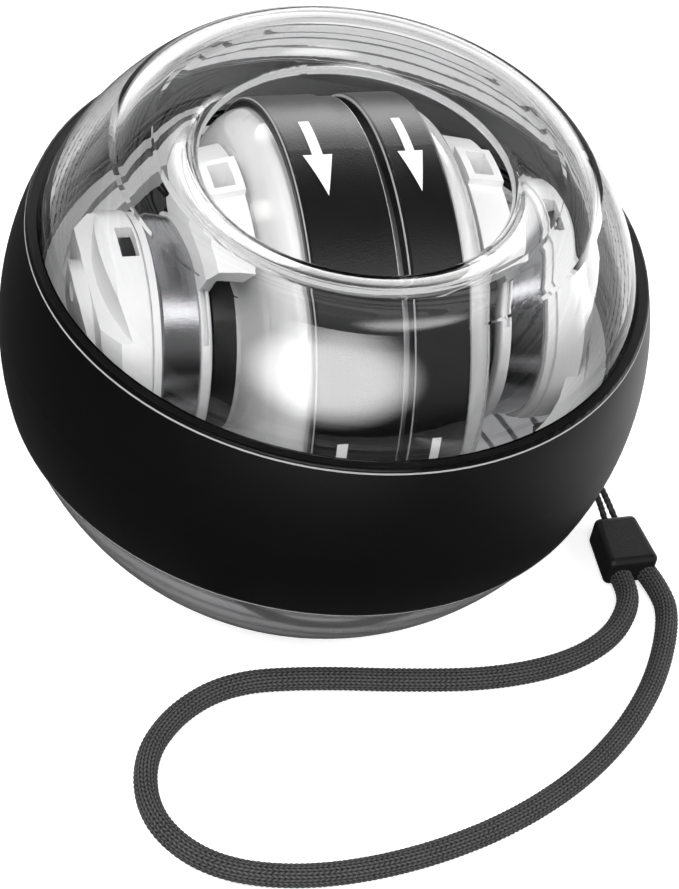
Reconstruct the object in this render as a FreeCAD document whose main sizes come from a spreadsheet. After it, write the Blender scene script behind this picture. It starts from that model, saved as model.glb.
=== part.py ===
# Gyroscopic wrist ball: a clear shell and a smoked shell joined under a rubber band, a carrier ring
# that runs in the groove between them, and a flywheel rotor with a wind-up starter on its left.
# Millimetres. The flat base lies on Z = 0, the ball's axis is +Z, and the rotor's axle lies on X.
import FreeCAD, Part
import Sketcher
import math
import os

doc = FreeCAD.newDocument("gyroscopic_wrist_ball")
vector = FreeCAD.Vector

# The sheet's rows: alias, value in millimetres or degrees or a formula in other rows, meaning.
DIMENSIONS = [
    ("shell_radius", 35.5, "outside of both shells under the band"),
    ("base_cut", 3.5, "slice that the flat base takes off the ball"),
    ("ball_center_height", "=shell_radius - base_cut", "centre of the ball above its flat base"),
    ("clear_step", 0.3, "how far the clear dome stands out above the band seat"),
    ("smoked_step", 1.15, "how far the smoked dome stands out below that seat"),
    ("shell_wall", 2.0, "wall of the clear dome"),
    ("crest_radius", 6.0, "round at the top of the clear dome"),
    ("opening_radius", "=shell_radius * 0.4901", "thumb opening at its narrowest"),
    ("lip_turn", 60.0, "degrees that the lip turns down past the crest"),
    ("base_wall", 1.8, "floor of the smoked shell"),
    ("race_half_height", 1.5, "half the height of the race groove"),
    ("race_wall", 2.3, "shell behind the race groove"),
    ("race_radius", "=shell_radius - race_wall", "bottom of the race groove"),
    ("race_depth", 3.0, "depth of that groove"),
    ("race_lip_radius", "=race_radius - race_depth", "inner edge of the two race flanges"),
    ("race_flange", 1.5, "thickness of a race flange"),
    ("lap_height", 0.8, "step that centres one shell on the other"),
    ("seam_gap", 0.05, "play in the step between the shells"),
    ("band_thickness", 1.5, "rubber band"),
    ("band_sag", 0.5, "centre of the band's bulge below the ball's centre"),
    ("band_top", "=shell_radius * 0.3183", "upper edge of the band above the ball's centre"),
    ("band_bottom", "=shell_radius * 0.324", "lower edge of the band below the ball's centre"),
    ("band_edge", 0.4, "rounded upper edge of the band"),
    ("eye_azimuth", -12.4, "degrees from +X round to the lanyard eye"),
    ("eye_drop", "=shell_radius * 0.4789", "lanyard eye below the ball's centre"),
    ("eye_spacing", 3.0, "between the two holes of the eye"),
    ("eye_bore_radius", 0.65, "each hole of the eye"),
    ("eye_reach", 6.0, "how far the holes are drilled from inside the shell"),
    ("fit_gap", 0.02, "between pieces that are fixed to each other"),
    ("shaft_gap", 0.05, "running clearance of a shaft, per side"),
    ("running_gap", 0.4, "clearance between faces that pass each other"),
    ("ring_play", 0.5, "carrier ring in from the bottom of the race groove"),
    ("ring_outer_radius", "=race_radius - ring_play", "carrier ring outside"),
    ("ring_width", 4.5, "carrier ring from inside to outside"),
    ("ring_inner_radius", "=ring_outer_radius - ring_width", "carrier ring inside"),
    ("ring_half_height", 1.0, "half the thickness of the carrier ring"),
    ("ring_web", 0.8, "ring left standing outside each axle notch"),
    ("axle_radius", 2.0, "axle through the rotor"),
    ("axle_tip_radius", 1.35, "axle tips that roll in the race"),
    ("tip_play", 0.3, "axle tip in from the end of its notch"),
    ("axle_reach", "=ring_outer_radius - ring_web - tip_play", "axle tip from the ball's centre"),
    ("tip_chamfer", 0.3, "chamfer of the axle tips"),
    ("rotor_play", "=shell_radius * 0.0817", "grip rims in from the carrier ring"),
    ("rotor_radius", "=ring_inner_radius - rotor_play", "outside of the grip rims"),
    ("rotor_half_width", "=shell_radius * 0.2451", "centre to a side of the grip rims"),
    ("rim_wall", 2.0, "thickness of a grip rim"),
    ("rim_flange", 1.2, "inward flange of a grip rim"),
    ("rim_flange_depth", 4.2, "how far that flange reaches in from the rim"),
    ("rim_edge", 0.5, "rounded outer edge of a grip rim"),
    ("strip_start", -0.9, "left edge of the lowered middle strip"),
    ("strip_drop", 0.25, "middle strip below the left rim's face"),
    ("parting_start", 1.2, "end of the left rim at the parting groove"),
    ("parting_end", 2.3, "start of the right rim at the parting groove"),
    ("weight_inner_radius", "=rotor_radius * 0.6719", "inside of the flywheel's heavy ring"),
    ("weight_play", 0.1, "heavy ring in from the rims' flanges"),
    ("weight_half_width", "=rotor_half_width - rim_flange - weight_play", "half the heavy ring's width"),
    ("web_half_thickness", 2.5, "half the flywheel's web"),
    ("hub_radius", 8.0, "flywheel's hub"),
    ("hub_half_length", "=shell_radius * 0.3606", "centre to an end of the flywheel's hub"),
    ("hub_fillet", 2.0, "round between the flywheel's web and its hub and ring"),
    ("cover_step", 1.1, "side cover's foot in from the rim"),
    ("cover_foot_radius", "=rotor_radius - cover_step", "side cover where it meets the rim"),
    ("cover_lean", "=shell_radius * 0.0817", "side cover's inner edge in from the drum lid"),
    ("cover_reach", "=hub_half_length + cup_length + running_gap - cover_lean", "that edge from the centre"),
    ("cover_slope", "=shell_radius * 0.0366", "side cover's shoulder to its inner edge, along the axle"),
    ("cover_shoulder", "=cover_reach - cover_slope", "side cover's shoulder from the centre"),
    ("cover_fall", "=shell_radius * 0.1127", "side cover's foot to its shoulder, across the axle"),
    ("cover_shoulder_radius", "=cover_foot_radius - cover_fall", "radius at which that shoulder ends"),
    ("cover_round", 4.4, "radius of the shoulder's round"),
    ("cover_wall", 1.2, "wall of a side cover"),
    ("drum_radius", "=shell_radius * 0.3521", "spring barrel and magnet drum outside"),
    ("drum_wall", 0.8, "wall of a drum"),
    ("drum_length", "=shell_radius * 0.1239", "drum along the axle"),
    ("drum_round", 0.5, "rounded outer edge of a drum"),
    ("cup_step", 0.5, "hub cup in from the drum's outside"),
    ("cup_radius", "=drum_radius - cup_step", "hub cup outside"),
    ("cup_length", "=shell_radius * 0.093", "hub cup along the axle"),
    ("cup_wall", 1.2, "hub cup wall and floor"),
    ("lid_step", 0.5, "drum lid out from the drum's outside"),
    ("lid_radius", "=drum_radius + lid_step", "flange of a drum lid"),
    ("lid_thickness", 1.2, "drum lid"),
    ("lid_edge", 0.4, "rounded edge of a drum lid"),
    ("notch_start", 0.45, "from the lid's inner face to its spring notch"),
    ("notch_width", 0.55, "spring notch along the axle"),
    ("notch_depth", 0.8, "spring notch into the lid's edge"),
    ("notch_sweep", 34.0, "degrees that the notch runs round the lid"),
    ("notch_turn", 39.0, "degrees from the top forward to its middle"),
    ("arm_play", 0.45, "a lid's arm from the side cover"),
    ("arm_lap", 0.4, "arm's top out from the lid's inner face"),
    ("arm_floor", "=shell_radius * 0.4676", "underside of the arm from the axle"),
    ("arm_crest", "=shell_radius * 0.5803", "arm's top at its inner face"),
    ("arm_eave", "=shell_radius * 0.5577", "arm's top at its outer face"),
    ("pocket_crest", "=shell_radius * 0.6056", "top of the pocket's frame at the inner face"),
    ("pocket_eave", "=shell_radius * 0.5859", "top of the pocket's frame at the outer face"),
    ("arm_wall", 0.9, "walls of the arm's pocket"),
    ("arm_sweep", 60.0, "degrees that the arm runs round the axle"),
    ("frame_sweep", 16.0, "degrees that the pocket's frame runs"),
    ("pocket_sweep", 11.0, "degrees that the pocket runs"),
    ("pocket_turn", -3.8, "degrees from the top forward to the pocket's middle"),
    ("bearing_bore_wall", 0.8, "inner and outer ring of a ball bearing"),
    ("bearing_radius", 4.5, "outside of a ball bearing"),
    ("bearing_width", 2.5, "width of a ball bearing"),
    ("bearing_ball_radius", 0.6, "a bearing's balls"),
    ("bearing_track_radius", 0.75, "hollow of a bearing's tracks"),
    ("block_flange", 0.8, "thickness of the end block's ring against the drum"),
    ("block_groove", 0.3, "groove between the ring and the cap"),
    ("block_groove_depth", 0.4, "depth of that groove"),
    ("block_step", 0.2, "end block's cap out from the drum lid"),
    ("block_radius", "=lid_radius + block_step", "end block's cap"),
    ("block_play", 0.5, "end block in from the race flanges"),
    ("block_reach", "=race_lip_radius - block_play", "end block's outer face from the ball's axis"),
    ("cap_play", 0.9, "cap's outer face in from the carrier ring's inside"),
    ("cap_chamfer", 0.9, "chamfer of the cap's outer edge at its top"),
    ("block_wall", 1.4, "cap's wall"),
    ("block_end_wall", 2.1, "end block's wall at the carrier ring"),
    ("block_boss_radius", 7.6, "boss round the bearing and the screws"),
    ("block_nose_step", 0.4, "foot on the carrier ring out from that boss"),
    ("block_screw_circle", 6.1, "long screws from the axle"),
    ("block_screw_depth", 1.3, "seat of their heads below the end block's outer face"),
    ("window_margin", 0.2, "a window from the cap's inner edge"),
    ("window_length", "=shell_radius * 0.0535", "a window along the axle"),
    ("window_width", 4.6, "a window across"),
    ("arbor_radius", 3.0, "spring arbor"),
    ("ratchet_radius", "=shell_radius * 0.1972", "ratchet wheel's tips"),
    ("ratchet_depth", 1.1, "depth of its teeth"),
    ("ratchet_thickness", 1.5, "ratchet wheel"),
    ("pawl_ring_wall", 0.9, "ring that carries the pawls"),
    ("pawl_thickness", 0.45, "a pawl's leaf"),
    ("pawl_lift", 0.8, "middle of a pawl's tip above the foot of the teeth"),
    ("pawl_bow_depth", 3.65, "middle of a pawl's leaf in from the hub cup's outside"),
    ("pawl_sweep", 74.4, "degrees that a pawl runs round the axle"),
    ("pawl_lead", 16.5, "degrees from the first tooth to a pawl's tip"),
    ("spring_thickness", 0.3, "mainspring's strip"),
    ("magnet_hole_radius", "=drum_radius * 0.4", "ring magnet inside"),
    ("coil_hole_radius", "=cup_radius * 0.5167", "pick-up coil inside"),
    ("coil_thickness", 1.6, "pick-up coil"),
    ("board_thickness", 0.8, "lamp board"),
    ("board_step", 1.0, "lamp board's inside out from the hub cup"),
    ("board_inner_radius", "=cup_radius + board_step", "lamp board inside"),
    ("board_play", 2.0, "lamp board in from the side cover's foot"),
    ("board_outer_radius", "=cover_foot_radius - board_play", "lamp board outside"),
    ("lamp_offset", 0.3, "lamps out from the middle between cup and shoulder"),
    ("lamp_circle", "=(cup_radius + cover_shoulder_radius) / 2 + lamp_offset", "lamps from the axle"),
    ("lamp_radius", 1.2, "a lamp"),
    ("lamp_height", "=shell_radius * 0.0338", "a lamp off its board"),
    ("screw_radius", 0.6, "shank of the small screws"),
    ("screw_head_radius", 1.1, "head of the small screws"),
    ("screw_head_height", 0.7, "height of that head"),
    ("screw_length", 3.2, "shank of the small screws along its axis"),
    ("cord_radius", 1.55, "braided lanyard cord"),
    ("cord_height", 1.6, "middle of the cord above the floor"),
    ("string_radius", 0.4, "thin string of the lanyard"),
    ("clamp_length", 7.6, "cord clamp along the lanyard"),
    ("clamp_width", 6.6, "cord clamp at the cord's end"),
    ("clamp_tip_width", 5.4, "cord clamp at the string's end"),
    ("clamp_thickness", 4.2, "cord clamp"),
    ("clamp_round", 0.8, "rounded edges of the clamp"),
    ("clamp_away", 8.56, "clamp's string end from the lanyard eye, along X"),
    ("clamp_aside", -2.21, "clamp's string end from the lanyard eye, along Y"),
    ("clamp_turn", -88.0, "degrees from +X to the way the clamp points"),
]

sheet = doc.addObject("Spreadsheet::Sheet", "Sizes")
for row, (alias, value, meaning) in enumerate(DIMENSIONS, start=1):
    sheet.set(f"A{row}", alias)
    sheet.set(f"C{row}", meaning)
    sheet.setAlias(f"B{row}", alias)
for row, (alias, value, meaning) in enumerate(DIMENSIONS, start=1):
    sheet.set(f"B{row}", str(value))
doc.recompute()


class Size:
    """A length of the sheet, or a sum worked out from some: its expression and its present value."""

    def __init__(self, text, value):
        self.text = text
        self.value = value

    def join(self, sign, other, value):
        return Size(f"({self.text} {sign} {text_of(other)})", value)

    def __add__(self, other):
        return self.join("+", other, self.value + amount(other))

    def __sub__(self, other):
        return self.join("-", other, self.value - amount(other))

    def __mul__(self, other):
        return self.join("*", other, self.value * amount(other))

    def __truediv__(self, other):
        return self.join("/", other, self.value / amount(other))

    def __neg__(self):
        return Size(f"(0 - {self.text})", -self.value)


def amount(thing):
    return thing.value if isinstance(thing, Size) else float(thing)


def text_of(thing):
    return thing.text if isinstance(thing, Size) else repr(thing)


def leg(hypotenuse, other):
    """The third side of a right triangle."""
    square = hypotenuse * hypotenuse - other * other
    return Size(f"sqrt({square.text})", math.sqrt(square.value))


def cosine(angle):
    return Size(f"cos({angle.text})", math.cos(math.radians(angle.value)))


def sine(angle):
    return Size(f"sin({angle.text})", math.sin(math.radians(angle.value)))


size = {alias: Size("Sizes." + alias, float(sheet.get(alias))) for alias, value, meaning in DIMENSIONS}
zero = Size("0", 0.0)
pieces = {}


def keep(node, feature):
    """Names a finished piece and keeps it for the export."""
    feature.Label = node
    pieces[node] = feature
    return feature


def at_center(feature):
    """Lifts a piece that was drawn about the ball's centre."""
    feature.setExpression("Placement.Base.z", text_of(size["ball_center_height"]))
    return feature


def origin_plane(body, role):
    return [plane for plane in body.Origin.OriginFeatures if plane.Role == role][0]


def outline(body, role, corners):
    """A closed sketch. A corner is (across, up) or (across, up, bend): the edge that arrives there is
    an arc of that radius, with its centre on the left of the way round, or on the right if minus."""
    sketch = body.newObject("Sketcher::SketchObject", "outline")
    sketch.AttachmentSupport = [(origin_plane(body, role), "")]
    sketch.MapMode = "FlatFace"
    spots = [vector(amount(corner[0]), amount(corner[1]), 0) for corner in corners]
    starts = []
    ends = []
    for index, corner in enumerate(corners):
        here, before = spots[index], spots[index - 1]
        if len(corner) == 2:
            edge = sketch.addGeometry(Part.LineSegment(before, here))
            starts.append((edge, 1))
            ends.append((edge, 2))
            continue
        bend = amount(corner[2])
        chord = here - before
        half = chord.Length / 2
        left = vector(-chord.y, chord.x, 0).normalize()
        turn = 1 if bend > 0 else -1
        depth = math.sqrt(max(bend * bend - half * half, 0))
        middle = before + chord * 0.5 + left * (turn * (depth - abs(bend)))
        edge = sketch.addGeometry(Part.Arc(before, middle, here))
        first = 1 if sketch.getPoint(edge, 1).distanceToPoint(before) < half else 2
        starts.append((edge, first))
        ends.append((edge, 3 - first))
        radius = sketch.addConstraint(Sketcher.Constraint("Radius", edge, abs(bend)))
        plus = corner[2] if turn > 0 else -corner[2]
        sketch.setExpression(f"Constraints[{radius}]", text_of(plus))
    for index, corner in enumerate(corners):
        edge, point = ends[index]
        following = starts[(index + 1) % len(corners)]
        sketch.addConstraint(Sketcher.Constraint("Coincident", edge, point, *following))
        for kind, axis, place in (("DistanceX", -2, corner[0]), ("DistanceY", -1, corner[1])):
            if isinstance(place, Size):
                rule = Sketcher.Constraint(kind, -1, 1, edge, point, place.value)
                held = sketch.addConstraint(rule)
                sketch.setExpression(f"Constraints[{held}]", place.text)
            else:
                sketch.addConstraint(Sketcher.Constraint("PointOnObject", edge, point, axis))
    return sketch


def revolved(name, corners, axis="H_Axis"):
    """A body turned from its outline: about X with H_Axis, about Z with V_Axis."""
    body = doc.addObject("PartDesign::Body", name)
    sketch = outline(body, "XZ_Plane", corners)
    turned = body.newObject("PartDesign::Revolution", name + "_turned")
    turned.Profile = sketch
    turned.ReferenceAxis = (sketch, [axis])
    turned.Angle = 360
    sketch.Visibility = False
    return at_center(body)


def sector(name, corners, sweep, turn):
    """A slice of a turned body, sweep degrees wide, its middle turn degrees from the top forward."""
    body = revolved(name, corners)
    turned = body.Tip
    turned.Midplane = True
    turned.setExpression("Angle", text_of(sweep))
    body.setExpression("Placement.Rotation.Axis.x", "1")
    body.setExpression("Placement.Rotation.Axis.y", "0")
    body.setExpression("Placement.Rotation.Axis.z", "0")
    body.setExpression("Placement.Rotation.Angle", text_of(turn))
    return body


def mirrored(side, corners):
    """The outline of the left side (side -1) from that of the right."""
    if side > 0:
        return corners
    turned = []
    for corner in corners:
        across = -corner[0] if isinstance(corner[0], Size) else corner[0]
        turned.append((across,) + tuple(corner[1:2]) + tuple(-bend for bend in corner[2:]))
    return turned


def block(name, low, high):
    """A box between two corners that are given from the ball's centre."""
    box = doc.addObject("Part::Box", name)
    for letter, edge, near, far in zip("xyz", ("Length", "Width", "Height"), low, high):
        box.setExpression(edge, text_of(far - near))
        lift = size["ball_center_height"] if letter == "z" else zero
        box.setExpression(f"Placement.Base.{letter}", text_of(near + lift))
    return box


def rod(name, start, radius, length, direction):
    """A cylinder whose start is given from the ball's centre."""
    cylinder = doc.addObject("Part::Cylinder", name)
    cylinder.setExpression("Radius", text_of(radius))
    cylinder.setExpression("Height", text_of(length))
    cylinder.Placement = FreeCAD.Placement(vector(), FreeCAD.Rotation(vector(0, 0, 1), direction))
    for letter, place in zip("xyz", start):
        lift = size["ball_center_height"] if letter == "z" else zero
        cylinder.setExpression(f"Placement.Base.{letter}", text_of(place + lift))
    return cylinder


def joined(name, features):
    fuse = doc.addObject("Part::MultiFuse", name)
    fuse.Shapes = features
    return fuse


def cut(name, base, tools):
    taken = tools[0] if len(tools) == 1 else joined(name + "_tools", tools)
    difference = doc.addObject("Part::Cut", name)
    difference.Base = base
    difference.Tool = taken
    return difference


def around(name, count, radius, start, thickness, reach, side, turn=0.0):
    """Rods on a circle about the axle, from start outwards along it."""
    rods = []
    for number in range(count):
        angle = math.radians(turn + 360.0 * number / count)
        place = (start * side, radius * math.cos(angle), radius * math.sin(angle))
        rods.append(rod(f"{name}_{number}", place, thickness, reach, vector(side, 0, 0)))
    return rods


def screws(name, count, radius, seat, reach, side, turn=0.0):
    """Small screws on a circle about the axle, driven inwards: heads stand out from the seat."""
    heads = around(name + "_head", count, radius, seat, size["screw_head_radius"],
                   size["screw_head_height"], side, turn)
    shanks = around(name + "_shank", count, radius, seat - reach, size["screw_radius"], reach, side, turn)
    return joined(name, heads + shanks)


def shaped(name, shape):
    """A solid drawn with plain geometry about the ball's centre."""
    feature = doc.addObject("Part::Feature", name)
    feature.Shape = shape
    return at_center(feature)


# Clear upper shell: a dome whose crest turns down into a funnel lip round the thumb opening, with
# half of the race groove at its foot.
clear_radius = size["shell_radius"] + size["clear_step"]
cavity_radius = clear_radius - size["shell_wall"]
nose_radius = size["shell_wall"] / 2
lip_middle = size["crest_radius"] - nose_radius
crest_distance = size["opening_radius"] + nose_radius + lip_middle * sine(size["lip_turn"])
crest_offset = clear_radius - size["crest_radius"]
crest_height = leg(crest_offset, crest_distance)
inner_round = size["crest_radius"] - size["shell_wall"]
crest_share = clear_radius / crest_offset
inner_share = cavity_radius / crest_offset
lip_out = sine(size["lip_turn"])
lip_up = cosine(size["lip_turn"])
band_seat = size["band_top"] + size["fit_gap"]
flange_top = size["race_half_height"] + size["race_flange"]
lap_radius = (size["race_radius"] + size["shell_radius"]) / 2
lap_low = size["lap_height"] + size["seam_gap"]
lap_inner = lap_radius + size["seam_gap"]
upper_corners = [
    (lap_inner, zero),
    (size["shell_radius"], zero),
    (leg(size["shell_radius"], band_seat), band_seat, size["shell_radius"]),
    (leg(clear_radius, band_seat), band_seat),
    (crest_distance * crest_share, crest_height * crest_share, clear_radius),
    (crest_distance, crest_height + size["crest_radius"], size["crest_radius"]),
    (crest_distance - lip_out * size["crest_radius"], crest_height + lip_up * size["crest_radius"],
     size["crest_radius"]),
    (crest_distance - lip_out * lip_middle - lip_up * nose_radius,
     crest_height + lip_up * lip_middle - lip_out * nose_radius, nose_radius),
    (crest_distance - lip_out * inner_round, crest_height + lip_up * inner_round, nose_radius),
    (crest_distance, crest_height + inner_round, -inner_round),
    (crest_distance * inner_share, crest_height * inner_share, -inner_round),
    (leg(cavity_radius, flange_top), flange_top, -cavity_radius),
    (size["race_lip_radius"], flange_top),
    (size["race_lip_radius"], size["race_half_height"]),
    (size["race_radius"], size["race_half_height"]),
    (size["race_radius"], lap_low),
    (lap_inner, lap_low),
]
keep("upper_shell", revolved("upper_shell", upper_corners, "V_Axis"))

# Smoked lower shell: the other half of the race, the step that centres the clear shell, a flat
# base to stand on, and the eye that the lanyard's string is looped through.
smoked_radius = size["shell_radius"] + size["smoked_step"]
smoked_edge = size["band_bottom"] + size["fit_gap"]
base_low = -size["ball_center_height"]
floor_up = base_low + size["base_wall"]
lower_corners = [
    (zero, base_low),
    (leg(smoked_radius, size["ball_center_height"]), base_low),
    (leg(smoked_radius, smoked_edge), -smoked_edge, smoked_radius),
    (leg(size["shell_radius"], smoked_edge), -smoked_edge),
    (size["shell_radius"], zero, size["shell_radius"]),
    (lap_radius, zero),
    (lap_radius, size["lap_height"]),
    (size["race_radius"], size["lap_height"]),
    (size["race_radius"], -size["race_half_height"]),
    (size["race_lip_radius"], -size["race_half_height"]),
    (size["race_lip_radius"], -flange_top),
    (leg(cavity_radius, flange_top), -flange_top),
    (leg(cavity_radius, size["ball_center_height"] - size["base_wall"]), floor_up, -cavity_radius),
    (zero, floor_up),
]
lower_body = revolved("lower_shell_turned", lower_corners, "V_Axis")
eye_out = cosine(size["eye_azimuth"])
eye_side = sine(size["eye_azimuth"])
eye_ring = leg(size["shell_radius"], size["eye_drop"])
eye_level = eye_ring / size["shell_radius"]
eye_fall = size["eye_drop"] / size["shell_radius"]
eye_normal = vector(amount(eye_out * eye_level), amount(eye_side * eye_level), -amount(eye_fall))
hole_start = cavity_radius - size["shell_wall"]
eye_half = size["eye_spacing"] / 2
eye_holes = []
for side in (-1, 1):
    across = eye_half * side
    start = (eye_out * eye_level * hole_start - eye_side * across,
             eye_side * eye_level * hole_start + eye_out * across, -eye_fall * hole_start)
    eye_holes.append(rod(f"eye_hole_{side}", start, size["eye_bore_radius"], size["eye_reach"],
                         eye_normal))
keep("lower_shell", cut("lower_shell", lower_body, eye_holes))

# Rubber band: a soft-touch sleeve stretched over the seam, in a seat between the two domes.
band_radius = size["shell_radius"] + size["band_thickness"]
band_inner = size["shell_radius"] + size["fit_gap"]
band_top_out = leg(band_radius, size["band_top"] + size["band_sag"])
band_low_out = leg(band_radius, size["band_bottom"] - size["band_sag"])
band_shoulder = size["band_top"] - size["band_edge"]
keep("band", revolved("band", [
    (band_low_out, -size["band_bottom"]),
    (band_radius, -size["band_sag"], band_radius),
    (leg(band_radius, band_shoulder + size["band_sag"]), band_shoulder, band_radius),
    (band_top_out - size["band_edge"], size["band_top"], size["band_edge"]),
    (leg(band_inner, size["band_top"]), size["band_top"]),
    (band_inner, zero, -band_inner),
    (leg(band_inner, size["band_bottom"]), -size["band_bottom"], -band_inner),
], "V_Axis"))

# Carrier ring: a flat ring in the race groove with an open notch for each axle tip.
ring_blank = revolved("ring_turned", [
    (size["ring_inner_radius"], -size["ring_half_height"]),
    (size["ring_outer_radius"], -size["ring_half_height"]),
    (size["ring_outer_radius"], size["ring_half_height"]),
    (size["ring_inner_radius"], size["ring_half_height"]),
], "V_Axis")
notch_reach = size["ring_outer_radius"] - size["ring_web"]
notch_half = size["axle_tip_radius"] + size["shaft_gap"]
ring_clear = size["ring_half_height"] * 2
notches = block("ring_notches", (-notch_reach, -notch_half, -ring_clear),
                (notch_reach, notch_half, ring_clear))
keep("carrier_ring", cut("carrier_ring", ring_blank, [notches]))

# Axle: a steel shaft pressed through the flywheel, with stepped tips that roll in the race. Outward
# from the flywheel's hub come a hub cup, a lid, a drum and a bearing in an end block.
cup_end = size["hub_half_length"] + size["cup_length"]
lid_start = cup_end + size["running_gap"]
lid_end = lid_start + size["lid_thickness"]
drum_end = lid_end + size["drum_length"]
journal_end = drum_end + size["bearing_width"] + size["running_gap"]
tip_inner = size["axle_reach"] - size["tip_chamfer"]
tip_small = size["axle_tip_radius"] - size["tip_chamfer"]
keep("axle", revolved("axle", [
    (-size["axle_reach"], zero),
    (-size["axle_reach"], tip_small),
    (-tip_inner, size["axle_tip_radius"]),
    (-journal_end, size["axle_tip_radius"]),
    (-journal_end, size["axle_radius"]),
    (journal_end, size["axle_radius"]),
    (journal_end, size["axle_tip_radius"]),
    (tip_inner, size["axle_tip_radius"]),
    (size["axle_reach"], tip_small),
    (size["axle_reach"], zero),
]))

# Flywheel: a steel hub, web and heavy ring that store the spin, under the two grip rims.
weight_radius = size["rotor_radius"] - size["rim_wall"] - size["fit_gap"]
press_bore = size["axle_radius"] + size["fit_gap"]
web_hub = size["hub_radius"] + size["hub_fillet"]
web_ring = size["weight_inner_radius"] - size["hub_fillet"]
web_side = size["web_half_thickness"] + size["hub_fillet"]
flywheel_blank = revolved("flywheel_turned", [
    (-size["hub_half_length"], press_bore),
    (size["hub_half_length"], press_bore),
    (size["hub_half_length"], size["hub_radius"]),
    (web_side, size["hub_radius"]),
    (size["web_half_thickness"], web_hub, -size["hub_fillet"]),
    (size["web_half_thickness"], web_ring),
    (web_side, size["weight_inner_radius"], -size["hub_fillet"]),
    (size["weight_half_width"], size["weight_inner_radius"]),
    (size["weight_half_width"], weight_radius),
    (-size["weight_half_width"], weight_radius),
    (-size["weight_half_width"], size["weight_inner_radius"]),
    (-web_side, size["weight_inner_radius"]),
    (-size["web_half_thickness"], web_ring, -size["hub_fillet"]),
    (-size["web_half_thickness"], web_hub),
    (-web_side, size["hub_radius"], -size["hub_fillet"]),
    (-size["hub_half_length"], size["hub_radius"]),
])

# Grip rims: two black soft-touch rings over the flywheel, which the thumb rolls. The left one has
# a lowered middle strip, and a groove parts them.
rim_inner = size["rotor_radius"] - size["rim_wall"]
flange_inner = size["rotor_radius"] - size["rim_flange_depth"]
flange_face = size["rotor_half_width"] - size["rim_flange"]
rim_shoulder = size["rotor_radius"] - size["rim_edge"]
strip_radius = size["rotor_radius"] - size["strip_drop"]
keep("grip_rim_left", revolved("grip_rim_left", [
    (-size["rotor_half_width"], flange_inner),
    (-flange_face, flange_inner),
    (-flange_face, rim_inner),
    (size["parting_start"], rim_inner),
    (size["parting_start"], strip_radius),
    (size["strip_start"], strip_radius),
    (size["strip_start"], size["rotor_radius"]),
    (size["rim_edge"] - size["rotor_half_width"], size["rotor_radius"]),
    (-size["rotor_half_width"], rim_shoulder, size["rim_edge"]),
]))
keep("grip_rim_right", revolved("grip_rim_right", [
    (size["parting_end"], rim_inner),
    (flange_face, rim_inner),
    (flange_face, flange_inner),
    (size["rotor_half_width"], flange_inner),
    (size["rotor_half_width"], rim_shoulder),
    (size["rotor_half_width"] - size["rim_edge"], size["rotor_radius"], size["rim_edge"]),
    (size["parting_end"] + size["rim_edge"], size["rotor_radius"]),
    (size["parting_end"], rim_shoulder, size["rim_edge"]),
]))

# Both ends of the rotor, -1 for the left and 1 for the right: a translucent cover over the rim's
# side, and a dark cup that is screwed to the flywheel's hub with its screws sunk in.
cup_floor = size["hub_half_length"] + size["cup_wall"]
cup_inner = size["cup_radius"] - size["cup_wall"]
axle_clear = size["axle_radius"] + size["running_gap"]
cover_bore = size["cup_radius"] + size["fit_gap"]
cover_root = size["cover_foot_radius"] - size["cover_wall"]
hub_circle = (axle_clear + size["hub_radius"]) / 2
screw_hole = size["screw_radius"] + size["fit_gap"]
head_hole = size["screw_head_radius"] + size["fit_gap"]
screw_seat = cup_floor - size["screw_head_height"]
screw_end = screw_seat - size["screw_length"]
ends = {"left": -1, "right": 1}
SCREWS = 3
hub_holes = []
for end, side in ends.items():
    hub_holes += around(f"hub_hole_{end}", SCREWS, hub_circle, screw_end, screw_hole,
                        size["screw_length"], side)
    keep(f"side_cover_{end}", revolved(f"side_cover_{end}", mirrored(side, [
        (size["rotor_half_width"], size["cover_foot_radius"]),
        (size["cover_shoulder"], size["cover_shoulder_radius"], -size["cover_round"]),
        (size["cover_reach"], cover_bore),
        (size["cover_reach"] - size["cover_wall"], cover_bore),
        (size["cover_shoulder"] - size["cover_wall"], size["cover_shoulder_radius"] - size["cover_wall"] / 2),
        (size["rotor_half_width"], cover_root, size["cover_round"]),
    ])))
    cup_turned = revolved(f"hub_cup_{end}_turned", mirrored(side, [
        (size["hub_half_length"], axle_clear),
        (size["hub_half_length"], size["cup_radius"]),
        (cup_end, size["cup_radius"]),
        (cup_end, cup_inner),
        (cup_floor, cup_inner),
        (cup_floor, axle_clear),
    ]))
    sunk = around(f"cup_head_{end}", SCREWS, hub_circle, screw_seat, head_hole, size["cup_wall"], side)
    sunk += around(f"cup_hole_{end}", SCREWS, hub_circle, screw_end, screw_hole,
                   size["screw_length"] + size["cup_wall"], side)
    keep(f"hub_cup_{end}", cut(f"hub_cup_{end}", cup_turned, sunk))
    keep(f"hub_screws_{end}", screws(f"hub_screws_{end}", SCREWS, hub_circle, screw_seat,
                                     size["screw_length"] - size["fit_gap"], side))
keep("flywheel", cut("flywheel", flywheel_blank, hub_holes))

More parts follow.
